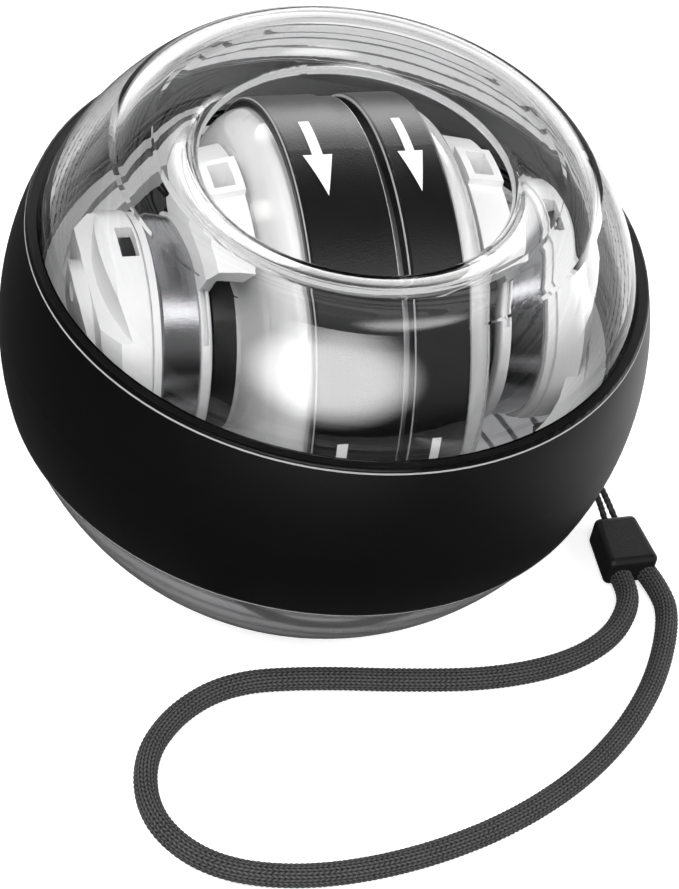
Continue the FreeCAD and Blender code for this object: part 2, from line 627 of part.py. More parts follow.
# Drum lids stand still beside the cups. Each has an arm that reaches over the side cover's edge, with
# a framed pocket on top that shows through the thumb opening, and a notch for a spring's end.
drum_inner = size["drum_radius"] - size["drum_wall"]
arbor_bore = size["arbor_radius"] + size["shaft_gap"]
spigot_end = lid_end + size["drum_wall"]
spigot_radius = drum_inner - size["fit_gap"]
arm_start = size["cover_shoulder"] + size["arm_play"]
arm_low = (size["cover_shoulder"] + size["cover_reach"]) / 2 + size["arm_play"]
arm_end = lid_start + size["arm_lap"]
pocket_start = arm_start + size["arm_wall"]
pocket_end = arm_end - size["arm_wall"]
pocket_floor = size["arm_floor"] + size["arm_wall"]
notch_start = lid_start + size["notch_start"]
notch_end = notch_start + size["notch_width"]
notch_radius = size["lid_radius"] - size["notch_depth"]
for end, side in ends.items():
    lid_turned = revolved(f"lid_turned_{end}", mirrored(side, [
        (lid_start, arbor_bore),
        (lid_start, size["lid_radius"] - size["lid_edge"]),
        (lid_start + size["lid_edge"], size["lid_radius"], -size["lid_edge"]),
        (lid_end, size["lid_radius"]),
        (lid_end, spigot_radius),
        (spigot_end, spigot_radius),
        (spigot_end, spigot_radius - size["drum_wall"]),
        (lid_end, spigot_radius - size["drum_wall"]),
        (lid_end, arbor_bore),
    ]))
    arm = sector(f"lid_arm_{end}", mirrored(side, [
        (lid_start, size["cup_radius"]),
        (lid_start, size["arm_floor"]),
        (arm_low, size["arm_floor"]),
        (arm_start, size["cover_shoulder_radius"]),
        (arm_start, size["arm_crest"]),
        (arm_end, size["arm_eave"]),
        (lid_end, size["arm_floor"]),
        (lid_end, size["cup_radius"]),
    ]), size["arm_sweep"], zero)
    pocket_frame = sector(f"lid_frame_{end}", mirrored(side, [
        (arm_start, size["cover_shoulder_radius"]),
        (arm_start, size["pocket_crest"]),
        (arm_end, size["pocket_eave"]),
        (arm_end, pocket_floor),
        (pocket_end, pocket_floor),
    ]), size["frame_sweep"], size["pocket_turn"])
    pocket = sector(f"lid_pocket_{end}", mirrored(side, [
        (pocket_start, pocket_floor),
        (pocket_start, size["pocket_crest"] + size["arm_wall"]),
        (pocket_end, size["pocket_crest"] + size["arm_wall"]),
        (pocket_end, pocket_floor),
    ]), size["pocket_sweep"], size["pocket_turn"])
    notch = sector(f"lid_notch_{end}", mirrored(side, [
        (notch_start, notch_radius),
        (notch_start, size["lid_radius"] + size["notch_depth"]),
        (notch_end, size["lid_radius"] + size["notch_depth"]),
        (notch_end, notch_radius),
    ]), size["notch_sweep"], size["notch_turn"])
    lid_blank = joined(f"lid_blank_{end}", [lid_turned, arm, pocket_frame])
    keep(f"drum_lid_{end}", cut(f"drum_lid_{end}", lid_blank, [pocket, notch]))

# Drums: thin steel cans. The left one holds the mainspring, the right one the generator's magnet.
drum_floor = drum_end - size["drum_wall"]
for end, side in ends.items():
    drum_turned = revolved(f"drum_turned_{end}", mirrored(side, [
        (lid_end, drum_inner),
        (lid_end, size["drum_radius"]),
        (drum_end - size["drum_round"], size["drum_radius"]),
        (drum_end, size["drum_radius"] - size["drum_round"], -size["drum_round"]),
        (drum_end, arbor_bore),
        (drum_floor, arbor_bore),
        (drum_floor, drum_inner),
    ]))
    drum_holes = around(f"drum_hole_{end}", SCREWS, size["block_screw_circle"], lid_end, screw_hole,
                        size["drum_length"] + size["drum_wall"], side, 90.0)
    keep(f"drum_{end}", cut(f"drum_{end}", drum_turned, drum_holes))

# Ball bearings carry the axle in the end blocks.
BALLS = 7
race_inner = size["axle_radius"] + size["bearing_bore_wall"]
race_outer = size["bearing_radius"] - size["bearing_bore_wall"]
ball_track = (race_inner + race_outer) / 2
bearing_start = drum_end + size["fit_gap"]
bearing_end = drum_end + size["bearing_width"]
bearing_middle = drum_end + size["bearing_width"] / 2
track_start = bearing_middle - size["bearing_ball_radius"]
track_end = bearing_middle + size["bearing_ball_radius"]
for end, side in ends.items():
    keep(f"bearing_inner_{end}", revolved(f"bearing_inner_{end}", mirrored(side, [
        (bearing_start, press_bore),
        (bearing_start, race_inner),
        (track_start, race_inner),
        (track_end, race_inner, size["bearing_track_radius"]),
        (bearing_end, race_inner),
        (bearing_end, press_bore),
    ])))
    keep(f"bearing_outer_{end}", revolved(f"bearing_outer_{end}", mirrored(side, [
        (bearing_start, race_outer),
        (bearing_start, size["bearing_radius"]),
        (bearing_end, size["bearing_radius"]),
        (bearing_end, race_outer),
        (track_end, race_outer),
        (track_start, race_outer, size["bearing_track_radius"]),
    ])))
    balls = []
    for number in range(BALLS):
        angle = 2 * math.pi * number / BALLS
        up = ball_track * math.sin(angle) + size["ball_center_height"]
        ball = doc.addObject("Part::Sphere", f"ball_{end}_{number}")
        ball.setExpression("Radius", text_of(size["bearing_ball_radius"]))
        ball.setExpression("Placement.Base.x", text_of(bearing_middle * side))
        ball.setExpression("Placement.Base.y", text_of(ball_track * math.cos(angle)))
        ball.setExpression("Placement.Base.z", text_of(up))
        balls.append(ball)
    keep(f"bearing_balls_{end}", joined(f"bearing_balls_{end}", balls))

# End blocks: hollow white caps, cut round to clear the carrier ring, with two windows each. They hold
# the bearings, their feet sit on the carrier ring, and three long screws tie them to the drums.
slot_half = size["ring_half_height"] + size["fit_gap"]
slot_outer = rod("ring_slot_outer", (zero, zero, -slot_half), size["ring_outer_radius"], slot_half * 2,
                 vector(0, 0, 1))
slot_inner = rod("ring_slot_inner", (zero, zero, -slot_half), size["ring_inner_radius"] - size["fit_gap"],
                 slot_half * 2, vector(0, 0, 1))
ring_slot = cut("ring_slot", slot_outer, [slot_inner])
cap_bound_radius = size["ring_inner_radius"] - size["cap_play"]
foot_radius = size["block_boss_radius"] + size["block_nose_step"]


def upright(name, radius, half_height):
    """A round bound about the ball's own axis."""
    return rod(name, (zero, zero, -half_height), radius, half_height * 2, vector(0, 0, 1))


cap_bound = upright("cap_bound", cap_bound_radius, size["block_radius"])
foot_bound = upright("foot_bound", size["block_reach"], foot_radius)
block_bound = joined("block_bound", [cap_bound, foot_bound])
hollow_bound = upright("hollow_bound", cap_bound_radius - size["block_wall"], size["block_radius"])
bearing_seat = size["bearing_radius"] + size["fit_gap"]
seat_end = journal_end + size["fit_gap"]
tip_bore = size["axle_tip_radius"] + size["shaft_gap"]
ring_end = drum_end + size["block_flange"]
cap_start = ring_end + size["block_groove"]
block_corner = cap_bound_radius - size["cap_chamfer"]
cap_end = cap_bound_radius + size["cap_play"]
cap_end_radius = size["block_radius"] - (cap_end - block_corner)
block_groove_radius = size["lid_radius"] - size["block_groove_depth"]
block_inner = size["block_radius"] - size["block_wall"]
block_hollow_end = size["block_reach"] - size["block_end_wall"]
screw_head_seat = size["block_reach"] - size["block_screw_depth"]
window_start = cap_start + size["window_margin"]
window_end = window_start + size["window_length"]
half_window = size["window_width"] / 2
long_screw_reach = screw_head_seat - drum_floor - size["fit_gap"]
for end, side in ends.items():
    blank = revolved(f"block_turned_{end}", mirrored(side, [
        (drum_end, bearing_seat),
        (drum_end, size["lid_radius"]),
        (ring_end, size["lid_radius"]),
        (ring_end, block_groove_radius),
        (cap_start, block_groove_radius),
        (cap_start, size["block_radius"]),
        (block_corner, size["block_radius"]),
        (cap_end, cap_end_radius),
        (cap_end, foot_radius),
        (size["axle_reach"], foot_radius),
        (size["axle_reach"], tip_bore),
        (seat_end, tip_bore),
        (seat_end, bearing_seat),
    ]))
    bounded = doc.addObject("Part::Common", f"block_bounded_{end}")
    bounded.Base = blank
    bounded.Tool = block_bound
    hollow_turned = revolved(f"block_hollow_turned_{end}", mirrored(side, [
        (drum_end, size["block_boss_radius"]),
        (drum_end, block_inner),
        (block_hollow_end, block_inner),
        (block_hollow_end, size["block_boss_radius"]),
    ]))
    hollow = doc.addObject("Part::Common", f"block_hollow_{end}")
    hollow.Base = hollow_turned
    hollow.Tool = hollow_bound
    spans = sorted((window_start * side, window_end * side), key=amount)
    across = block(f"block_window_{end}", (spans[0], -half_window, -size["block_radius"]),
                   (spans[1], half_window, size["block_radius"]))
    kept = rod(f"block_window_boss_{end}", (drum_end * side, zero, zero), size["block_boss_radius"],
               size["block_reach"] - drum_end, vector(side, 0, 0))
    tools = [ring_slot, hollow, cut(f"block_window_sides_{end}", across, [kept])]
    tools += around(f"block_hole_{end}", SCREWS, size["block_screw_circle"], drum_floor, screw_hole,
                    size["axle_reach"] - drum_floor, side, 90.0)
    tools += around(f"block_head_{end}", SCREWS, size["block_screw_circle"], screw_head_seat,
                    head_hole, size["block_end_wall"], side, 90.0)
    keep(f"end_block_{end}", cut(f"end_block_{end}", bounded, tools))
    keep(f"block_screws_{end}", screws(f"block_screws_{end}", SCREWS, size["block_screw_circle"],
                                       screw_head_seat, long_screw_reach, side, 90.0))

# Spring barrel: the arbor and its ratchet wheel turn together about the axle. The mainspring is
# hooked to the arbor inside and to the drum outside.
wheel_start = cup_floor + size["running_gap"]
wheel_end = wheel_start + size["ratchet_thickness"]
sleeve_bore = size["axle_radius"] + size["shaft_gap"]
arbor_end = drum_end - size["running_gap"] / 2
keep("spring_arbor", revolved("spring_arbor", mirrored(-1, [
    (wheel_start, sleeve_bore),
    (wheel_start, size["arbor_radius"]),
    (arbor_end, size["arbor_radius"]),
    (arbor_end, sleeve_bore),
])))


def toothed(radius, depth, count, bore, start, end):
    """A saw-toothed wheel with a round bore, from start to end along X."""
    corners = []
    for number in range(count):
        angle = 2 * math.pi * number / count
        for reach in (radius - depth, radius):
            corners.append(vector(start, reach * math.cos(angle), reach * math.sin(angle)))
    wheel = Part.Face(Part.makePolygon(corners + corners[:1]))
    hole = Part.Face(Part.Wire(Part.makeCircle(bore, vector(start, 0, 0), vector(1, 0, 0))))
    return wheel.cut(hole).extrude(vector(end - start, 0, 0))


TEETH = 12
ratchet_bore = amount(size["arbor_radius"] + size["fit_gap"])
ratchet_radius = amount(size["ratchet_radius"])
ratchet_depth = amount(size["ratchet_depth"])
keep("ratchet_wheel", shaped("ratchet_wheel", toothed(
    ratchet_radius, ratchet_depth, TEETH, ratchet_bore, -amount(wheel_end), -amount(wheel_start))))


def curved_strip(start, middle, end, thickness, low, high):
    """A leaf of even thickness along the arc through three (y, z) places, from low to high on X."""
    places = [vector(low, *place) for place in (start, middle, end)]
    arc = Part.Arc(*places).toShape().Curve
    hub = arc.Center
    sides = []
    for offset in (thickness / 2, -thickness / 2):
        sides.append([hub + (place - hub) * ((arc.Radius + offset) / arc.Radius) for place in places])
    outer, inner = sides
    edges = [Part.Arc(*outer).toShape(), Part.makeLine(outer[2], inner[2]),
             Part.Arc(*inner[::-1]).toShape(), Part.makeLine(inner[0], outer[0])]
    return Part.Face(Part.Wire(edges)).extrude(vector(high - low, 0, 0))


def on_circle(radius, degrees):
    return (radius * math.cos(math.radians(degrees)), radius * math.sin(math.radians(degrees)))


# Pawl ring: three sprung leaves, moulded with a ring in the left hub cup, rest in the ratchet's
# teeth. They drive it one way and are thrown clear when the rotor runs.
PAWLS = 3
pawl_bow = amount(size["cup_radius"] - size["pawl_bow_depth"])
pawl_outer = amount(cup_inner - size["fit_gap"])
pawl_inner = pawl_outer - amount(size["pawl_ring_wall"])
pawl_tip = ratchet_radius - ratchet_depth + amount(size["pawl_lift"])
pawl_low = -amount(wheel_end)
pawl_high = -amount(cup_floor + size["fit_gap"])
ring_face = Part.Face(Part.Wire(Part.makeCircle(pawl_outer, vector(pawl_low, 0, 0), vector(1, 0, 0))))
ring_hole = Part.Face(Part.Wire(Part.makeCircle(pawl_inner, vector(pawl_low, 0, 0), vector(1, 0, 0))))
pawl_ring = ring_face.cut(ring_hole).extrude(vector(pawl_high - pawl_low, 0, 0))
for number in range(PAWLS):
    tip_angle = 360.0 * number / PAWLS + amount(size["pawl_lead"])
    root_angle = tip_angle + amount(size["pawl_sweep"])
    root = on_circle((pawl_outer + pawl_inner) / 2, root_angle)
    bow = on_circle(pawl_bow, (root_angle + tip_angle) / 2)
    leaf = curved_strip(root, bow, on_circle(pawl_tip, tip_angle), amount(size["pawl_thickness"]),
                        pawl_low, -amount(wheel_start))
    pawl_ring = pawl_ring.fuse(leaf)
keep("pawl_ring", shaped("pawl_ring", pawl_ring.removeSplitter()))

# Mainspring: a flat strip wound as half turns about two centres, each a step larger than the last.
SPRING_TURNS = 5
spring_inner = amount(size["arbor_radius"] + size["spring_thickness"] / 2 + size["fit_gap"])
spring_outer = amount(drum_inner - size["spring_thickness"] / 2 - size["fit_gap"])
half_turns = SPRING_TURNS * 2
spring_step = (spring_outer - spring_inner) / half_turns
spring_half = amount(size["spring_thickness"]) / 2
drum_room = drum_floor - spigot_end - size["running_gap"]
spring_start = -amount((spigot_end + drum_floor) / 2 + drum_room / 2)
strip_sides = {1: [], -1: []}
for number in range(half_turns):
    radius = spring_inner + spring_step * (number + 0.5)
    flip = 1 if number % 2 == 0 else -1
    middle = spring_step / 2 * flip
    for edge in strip_sides:
        reach = radius + edge * spring_half
        first = vector(spring_start, middle - flip * reach, 0)
        top = vector(spring_start, middle, flip * reach)
        last = vector(spring_start, middle + flip * reach, 0)
        strip_sides[edge].append((first, top, last))
strip_edges = [Part.Arc(*arc).toShape() for side in strip_sides.values() for arc in side]
strip_edges.append(Part.makeLine(strip_sides[1][0][0], strip_sides[-1][0][0]))
strip_edges.append(Part.makeLine(strip_sides[1][-1][2], strip_sides[-1][-1][2]))
strip_wire = Part.Wire(Part.__sortEdges__(strip_edges))
mainspring = Part.Face(strip_wire).extrude(vector(amount(drum_room), 0, 0))
keep("mainspring", shaped("mainspring", mainspring))
spring_gap = 2 * spring_step - amount(size["spring_thickness"])
print("least gap between the mainspring's turns", round(spring_gap, 3))

# Lamp generator: the ring magnet stands still in the right drum and the coil spins in the cup.
coil_outer = cup_inner - size["running_gap"]
coil_end = cup_floor + size["coil_thickness"]
magnet_start = spigot_end + size["fit_gap"]
magnet_end = magnet_start + drum_room
keep("ring_magnet", revolved("ring_magnet", [
    (magnet_start, size["magnet_hole_radius"]),
    (magnet_start, spigot_radius),
    (magnet_end, spigot_radius),
    (magnet_end, size["magnet_hole_radius"]),
]))
keep("pickup_coil", revolved("pickup_coil", [
    (cup_floor, size["coil_hole_radius"]),
    (cup_floor, coil_outer),
    (coil_end, coil_outer),
    (coil_end, size["coil_hole_radius"]),
]))

# Lamps: a board under each side cover carries two lamps, opposite each other for the balance.
LAMPS = 2
board_end = size["rotor_half_width"] + size["board_thickness"]
for end, side in ends.items():
    keep(f"lamp_board_{end}", revolved(f"lamp_board_{end}", mirrored(side, [
        (size["rotor_half_width"], size["board_inner_radius"]),
        (size["rotor_half_width"], size["board_outer_radius"]),
        (board_end, size["board_outer_radius"]),
        (board_end, size["board_inner_radius"]),
    ])))
    lamps = around(f"lamp_{end}", LAMPS, size["lamp_circle"], board_end, size["lamp_radius"],
                   size["lamp_height"], side, 90.0)
    keep(f"lamps_{end}", joined(f"lamps_{end}", lamps))

# Lanyard. The thin string is looped through the eye, a rubber clamp grips both its ends and both
# ends of the braided cord, and the cord lies on the floor in one long loop.
clamp_half = size["clamp_width"] / 2
clamp_tip_half = size["clamp_tip_width"] / 2
clamp_body = doc.addObject("PartDesign::Body", "clamp_body")
clamp_outline = outline(clamp_body, "XY_Plane", [
    (size["clamp_length"], clamp_half),
    (zero, clamp_tip_half),
    (zero, -clamp_tip_half),
    (size["clamp_length"], -clamp_half),
])
clamp_pad = clamp_body.newObject("PartDesign::Pad", "clamp_pad")
clamp_pad.Profile = clamp_outline
clamp_pad.setExpression("Length", text_of(size["clamp_thickness"]))
clamp_outline.Visibility = False
doc.recompute()
clamp_fillet = clamp_body.newObject("PartDesign::Fillet", "clamp_edges")
clamp_edges = [f"Edge{number}" for number, edge in enumerate(clamp_pad.Shape.Edges, start=1)]
clamp_fillet.Base = (clamp_pad, clamp_edges)
clamp_fillet.setExpression("Radius", text_of(size["clamp_round"]))
clamp_x = eye_out * eye_ring + size["clamp_away"]
clamp_y = eye_side * eye_ring + size["clamp_aside"]
clamp_body.setExpression("Placement.Base.x", text_of(clamp_x))
clamp_body.setExpression("Placement.Base.y", text_of(clamp_y))
clamp_body.setExpression("Placement.Rotation.Angle", text_of(size["clamp_turn"]))
keep("cord_clamp", clamp_body)

# The cord's route on the floor and the two ends of the string's, from the clamp's string end, and the
# string's loop, from the lanyard eye.
CORD_ROUTE = [
    (-1.4, -5.3), (-1.5, -8.6), (-3.1, -12.0), (-6.8, -15.8), (-12.8, -18.9), (-21.4, -20.3),
    (-31.6, -19.5), (-42.4, -17.6), (-52.0, -17.1), (-59.8, -20.9), (-65.0, -28.1), (-65.4, -36.9),
    (-60.4, -44.0), (-50.4, -46.7), (-37.6, -45.7), (-24.6, -41.5), (-13.0, -34.5), (-3.8, -24.9),
    (2.2, -14.7), (2.6, -9.3), (1.8, -5.2),
]
STRING_START = [(-0.7, -2.4, 2.1), (-0.6, 0.6, 2.4), (-1.6, 2.0, 5.0)]
STRING_LOOP = [
    (4.46, -1.21, -5.8), (1.56, -1.91, -1.1), (-3.04, -0.91, 1.5), (-2.44, 2.09, 1.5), (2.26, 1.09, -1.1),
    (5.26, 0.99, -5.6),
]
STRING_END = [(-0.6, 2.9, 5.0), (0.8, 0.9, 2.4), (0.9, -2.4, 2.1)]
clamp_place = vector(amount(clamp_x), amount(clamp_y), 0)
eye_place = vector(amount(eye_out * eye_ring), amount(eye_side * eye_ring),
                   amount(size["ball_center_height"] - size["eye_drop"]))
cord_level = amount(size["cord_height"])
cord_route = [clamp_place + vector(*place, cord_level) for place in CORD_ROUTE]
string_route = [clamp_place + vector(*place) for place in STRING_START]
string_route += [eye_place + vector(*place) for place in STRING_LOOP]
string_route += [clamp_place + vector(*place) for place in STRING_END]
BEND_SHARE = 0.45


def cord_tube(name, places, radius):
    """A round tube along straight runs that are joined by tangent arcs."""
    edges = []
    bends = []
    last = places[0]
    for before, here, after in zip(places, places[1:], places[2:]):
        shorter = min((here - before).Length, (after - here).Length)
        inward = (before - here).normalize()
        onward = (after - here).normalize()
        half_turn = (math.pi - inward.getAngle(onward)) / 2
        bend = BEND_SHARE * shorter / math.tan(half_turn)
        bends.append(bend)
        start = here + inward * (BEND_SHARE * shorter)
        end = here + onward * (BEND_SHARE * shorter)
        bisector = (inward + onward).normalize()
        middle = here + bisector * (bend / math.cos(half_turn) - bend)
        edges += [Part.makeLine(last, start), Part.Arc(start, middle, end).toShape()]
        last = end
    edges.append(Part.makeLine(last, places[-1]))
    path = Part.Wire(edges)
    ring = Part.Wire(Part.makeCircle(radius, places[0], places[1] - places[0]))
    tube = path.makePipeShell([ring], True, False)
    print(name, "radii", [round(bend, 1) for bend in bends], "length", round(path.Length, 1),
          "volume share", round(tube.Volume / (math.pi * radius ** 2 * path.Length), 4))
    feature = doc.addObject("Part::Feature", name)
    feature.Shape = tube
    return feature


keep("lanyard_cord", cord_tube("lanyard_cord", cord_route, amount(size["cord_radius"])))
keep("lanyard_string", cord_tube("lanyard_string", string_route, amount(size["string_radius"])))

doc.recompute()
for feature in doc.Objects:
    if "Invalid" in feature.State or "Error" in feature.State:
        raise RuntimeError(f"{feature.Label} failed: {feature.State}")
os.makedirs("parts", exist_ok=True)
for node, feature in pieces.items():
    if feature.Shape.isNull() or not feature.Shape.isValid() or feature.Shape.Volume <= 0:
        raise RuntimeError(f"{node} is not a sound solid")
    feature.Shape.exportStep(f"parts/{node}.step")
print(len(pieces), "pieces")
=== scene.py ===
import bpy
import bmesh
import math
from mathutils import Matrix, Vector


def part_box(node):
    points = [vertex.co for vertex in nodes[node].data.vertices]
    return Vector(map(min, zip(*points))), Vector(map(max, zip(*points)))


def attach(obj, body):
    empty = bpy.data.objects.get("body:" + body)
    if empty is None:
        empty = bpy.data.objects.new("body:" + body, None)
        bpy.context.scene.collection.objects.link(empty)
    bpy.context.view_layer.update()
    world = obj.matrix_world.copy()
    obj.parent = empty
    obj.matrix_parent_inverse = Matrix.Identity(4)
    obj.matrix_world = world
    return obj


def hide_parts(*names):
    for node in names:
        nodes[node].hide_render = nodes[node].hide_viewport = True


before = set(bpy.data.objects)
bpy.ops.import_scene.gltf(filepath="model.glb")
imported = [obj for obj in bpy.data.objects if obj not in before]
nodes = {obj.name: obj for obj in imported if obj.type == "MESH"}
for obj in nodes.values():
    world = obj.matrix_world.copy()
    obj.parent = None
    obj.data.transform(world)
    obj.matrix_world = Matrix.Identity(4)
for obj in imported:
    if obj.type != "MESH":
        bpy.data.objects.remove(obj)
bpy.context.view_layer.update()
ball_center = Vector((0.0, 0.0, 0.032))

# The camera stands in front of the ball, a little to its left and well above it, and is tilted so
# that the axle falls away to the lower right.
AZIMUTH, ELEVATION, ROLL, DISTANCE = -22.4, 42.1, 12.05, 0.365
LENS_PIXELS, LONG_SIDE = 3200.0, 889.0
SHIFT_ACROSS, SHIFT_UP = -14.2, 127.6


def spin_matrix(degrees, axis):
    return Matrix.Rotation(math.radians(degrees), 4, axis)


yaw = math.atan2(SHIFT_ACROSS, LENS_PIXELS)
pitch = math.atan2(SHIFT_UP * math.cos(yaw), LENS_PIXELS)
camera_data = bpy.data.cameras.new("camera")
camera_data.sensor_width = 36.0
camera_data.lens = LENS_PIXELS / LONG_SIDE * camera_data.sensor_width
camera_data.clip_start, camera_data.clip_end = 0.01, 20.0
camera = bpy.data.objects.new("camera", camera_data)
bpy.context.collection.objects.link(camera)
low = math.radians(ELEVATION)
away = spin_matrix(AZIMUTH, "Z") @ Vector((0.0, -math.cos(low), math.sin(low)))
camera.matrix_world = (Matrix.Translation(ball_center + away * DISTANCE) @ spin_matrix(AZIMUTH, "Z")
                       @ spin_matrix(90.0 - ELEVATION, "X") @ spin_matrix(ROLL, "Z")
                       @ Matrix.Rotation(yaw, 4, "Y") @ Matrix.Rotation(-pitch, 4, "X"))
bpy.context.scene.camera = camera
bpy.context.scene.view_settings.view_transform = "Standard"

# Lanyard cord: a black polyester cord, braided round and about three millimetres thick. It lies in
# one long loop, and both its ends are moulded into the rubber clamp.
CORD_RADIUS = 0.00138
CORD_HEIGHT = 1.42    # millimetres, as the route is
CORD_ROUTE = [
    (37.6, -14.2), (38.3, -17.7), (37.3, -21.6), (33.4, -26.1), (26.6, -29.2), (17.4, -30.3),
    (7.2, -29.3), (-3.7, -27.6), (-13.1, -27.2), (-20.4, -30.7), (-25.7, -37.1), (-26.5, -45.7),
    (-21.3, -52.6), (-11.3, -55.4), (1.4, -54.6), (14.5, -50.8), (26.4, -44.1), (36.1, -34.5),
    (42.0, -23.7), (42.1, -18.2), (40.8, -14.1),
]


def smooth_line(name, route):
    """The even line that a cord follows through its route, as a list of places."""
    curve = bpy.data.curves.new(name, "CURVE")
    curve.dimensions = "3D"
    curve.resolution_u = 48
    spline = curve.splines.new("NURBS")
    spline.points.add(len(route) - 1)
    for point, place in zip(spline.points, route):
        point.co = (*[length / 1000.0 for length in place], 1.0)
    spline.order_u = 3
    spline.use_endpoint_u = True
    holder = bpy.data.objects.new(name, curve)
    bpy.context.collection.objects.link(holder)
    bpy.context.view_layer.update()
    line = bpy.data.meshes.new_from_object(holder.evaluated_get(bpy.context.evaluated_depsgraph_get()))
    places = [vertex.co.copy() for vertex in line.vertices]
    bpy.data.objects.remove(holder)
    bpy.data.curves.remove(curve)
    bpy.data.meshes.remove(line)
    return places


def length_of(places):
    return sum((after - before).length for before, after in zip(places, places[1:]))


def evenly(places, count):
    """The same line with its places an even step apart."""
    step = length_of(places) / count
    spread, left = [places[0].copy()], step
    for before, after in zip(places, places[1:]):
        run = (after - before).length
        while left <= run and len(spread) < count:
            spread.append(before.lerp(after, left / run))
            left += step
        left -= run
    spread.append(places[-1].copy())
    return spread


def woven_tube(name, places, around, radius, relief, rise_at):
    """A closed tube. Its stitches rise by a share of the relief, kept as "stitch" for the finish's
    painted shade in the grooves.
    """
    shape = bmesh.new()
    layer = shape.loops.layers.uv.new("braid")
    stitch_layer = shape.verts.layers.float.new("stitch")
    side = None
    rings, ways, way = [], [], 0.0
    for index, place in enumerate(places):
        before, after = places[max(index - 1, 0)], places[min(index + 1, len(places) - 1)]
        onward = (after - before).normalized()
        side = Vector((0.0, 0.0, 1.0)) if side is None else side
        side = (side - onward * side.dot(onward)).normalized()
        other = onward.cross(side)
        if index:
            way += (place - places[index - 1]).length
        ring = []
        for step in range(around):
            share = step / around
            turn = 2.0 * math.pi * share
            rise = rise_at(share, way)
            outward = side * math.cos(turn) + other * math.sin(turn)
            ring.append(shape.verts.new(place + outward * (radius - relief + relief * rise)))
            ring[-1][stitch_layer] = rise
        rings.append(ring)
        ways.append(way)
    for index in range(len(rings) - 1):
        for step in range(around):
            following = (step + 1) % around
            face = shape.faces.new((rings[index][step], rings[index][following],
                                    rings[index + 1][following], rings[index + 1][step]))
            spots = ((step, index), (step + 1, index), (step + 1, index + 1), (step, index + 1))
            for loop, (turn, along) in zip(face.loops, spots):
                loop[layer].uv = (turn / around, ways[along])
    for ring in (rings[0][::-1], rings[-1]):
        shape.faces.new(ring)
    bmesh.ops.recalc_face_normals(shape, faces=shape.faces)
    mesh = bpy.data.meshes.new(name)
    shape.to_mesh(mesh)
    shape.free()
    mesh.shade_smooth()
    piece = bpy.data.objects.new(name, mesh)
    bpy.context.collection.objects.link(piece)
    return piece


BRAID_ROWS = 20
STITCH_LENGTH = 0.00062
STITCH_RISE = 0.00022
STITCH_LEAN = 0.8
STITCH_EDGE = 0.35    # how high a stitch stands at its sides, as a share of its middle
STRANDS_IN_ROW = 6.0
STRAND_LENGTH = 0.00012
CORD_STEPS = 1180
CORD_SIDES = 80


def braid_rise(share, way):
    """Rows of slanting stitches that lean left and right in turn."""
    row = share * BRAID_ROWS
    across = row % 1.0
    lean = across if int(row) % 2 else 1.0 - across
    stitch = (way / STITCH_LENGTH + lean * STITCH_LEAN) % 1.0
    crown = STITCH_EDGE + (1.0 - STITCH_EDGE) * math.sin(math.pi * across)
    return math.sqrt(max(math.sin(math.pi * stitch), 0.0)) * crown


cord_line = smooth_line("cord_line", [(*place, CORD_HEIGHT) for place in CORD_ROUTE])
cord_places = evenly(cord_line, CORD_STEPS)
cord = woven_tube("lanyard_braid", cord_places, CORD_SIDES, CORD_RADIUS, STITCH_RISE, braid_rise)


def finish_of(name, color, roughness, **sockets):
    """A new material and its shader."""
    material = bpy.data.materials.new(name)
    material.use_nodes = True
    shader = material.node_tree.nodes["Principled BSDF"]
    shader.inputs["Base Color"].default_value = (*color, 1.0)
    shader.inputs["Roughness"].default_value = roughness
    for socket, value in sockets.items():
        shader.inputs[socket.replace("_", " ")].default_value = value
    return material, shader


def node(material, kind, **settings):
    made = material.node_tree.nodes.new(kind)
    for setting, value in settings.items():
        setattr(made, setting, value)
    return made


def wire(material, output, socket):
    material.node_tree.links.new(output, socket)


cord_finish, cord_shader = finish_of("black_polyester", (0.03, 0.03, 0.03), 0.7,
                                     Specular_IOR_Level=0.1)
braid_place = node(cord_finish, "ShaderNodeUVMap", uv_map="braid")
braid_scale = node(cord_finish, "ShaderNodeVectorMath", operation="MULTIPLY")
braid_scale.inputs[1].default_value = (BRAID_ROWS * STRANDS_IN_ROW, 1.0 / STRAND_LENGTH, 1.0)
wire(cord_finish, braid_place.outputs["UV"], braid_scale.inputs[0])
strands = node(cord_finish, "ShaderNodeTexNoise")
strands.inputs["Scale"].default_value = 1.0
strands.inputs["Detail"].default_value = 3.0
wire(cord_finish, braid_scale.outputs["Vector"], strands.inputs["Vector"])
stitch = node(cord_finish, "ShaderNodeAttribute", attribute_name="stitch")
# Painted shade: where the stitches sink, the base colour darkens to near black, over a random tone of
# the strands.
groove_shade = node(cord_finish, "ShaderNodeMapRange")
groove_shade.inputs["From Min"].default_value = 0.25
groove_shade.inputs["From Max"].default_value = 0.95
wire(cord_finish, stitch.outputs["Fac"], groove_shade.inputs["Value"])
strand_and_groove_share = node(cord_finish, "ShaderNodeMath", operation="MULTIPLY")
wire(cord_finish, groove_shade.outputs["Result"], strand_and_groove_share.inputs[0])
wire(cord_finish, strands.outputs["Fac"], strand_and_groove_share.inputs[1])
strand_tone_and_groove_shade = node(cord_finish, "ShaderNodeMix", data_type="RGBA")
strand_tone_and_groove_shade.inputs["A"].default_value = (0.004, 0.004, 0.004, 1.0)
strand_tone_and_groove_shade.inputs["B"].default_value = (0.19, 0.19, 0.19, 1.0)
wire(cord_finish, strand_and_groove_share.outputs[0], strand_tone_and_groove_shade.inputs["Factor"])
wire(cord_finish, strand_tone_and_groove_shade.outputs["Result"], cord_shader.inputs["Base Color"])
strand_bump = node(cord_finish, "ShaderNodeBump")
strand_bump.inputs["Distance"].default_value = 0.00004
wire(cord_finish, strands.outputs["Fac"], strand_bump.inputs["Height"])
wire(cord_finish, strand_bump.outputs["Normal"], cord_shader.inputs["Normal"])
cord.data.materials.append(cord_finish)
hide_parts("lanyard_cord")
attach(cord, "housing")

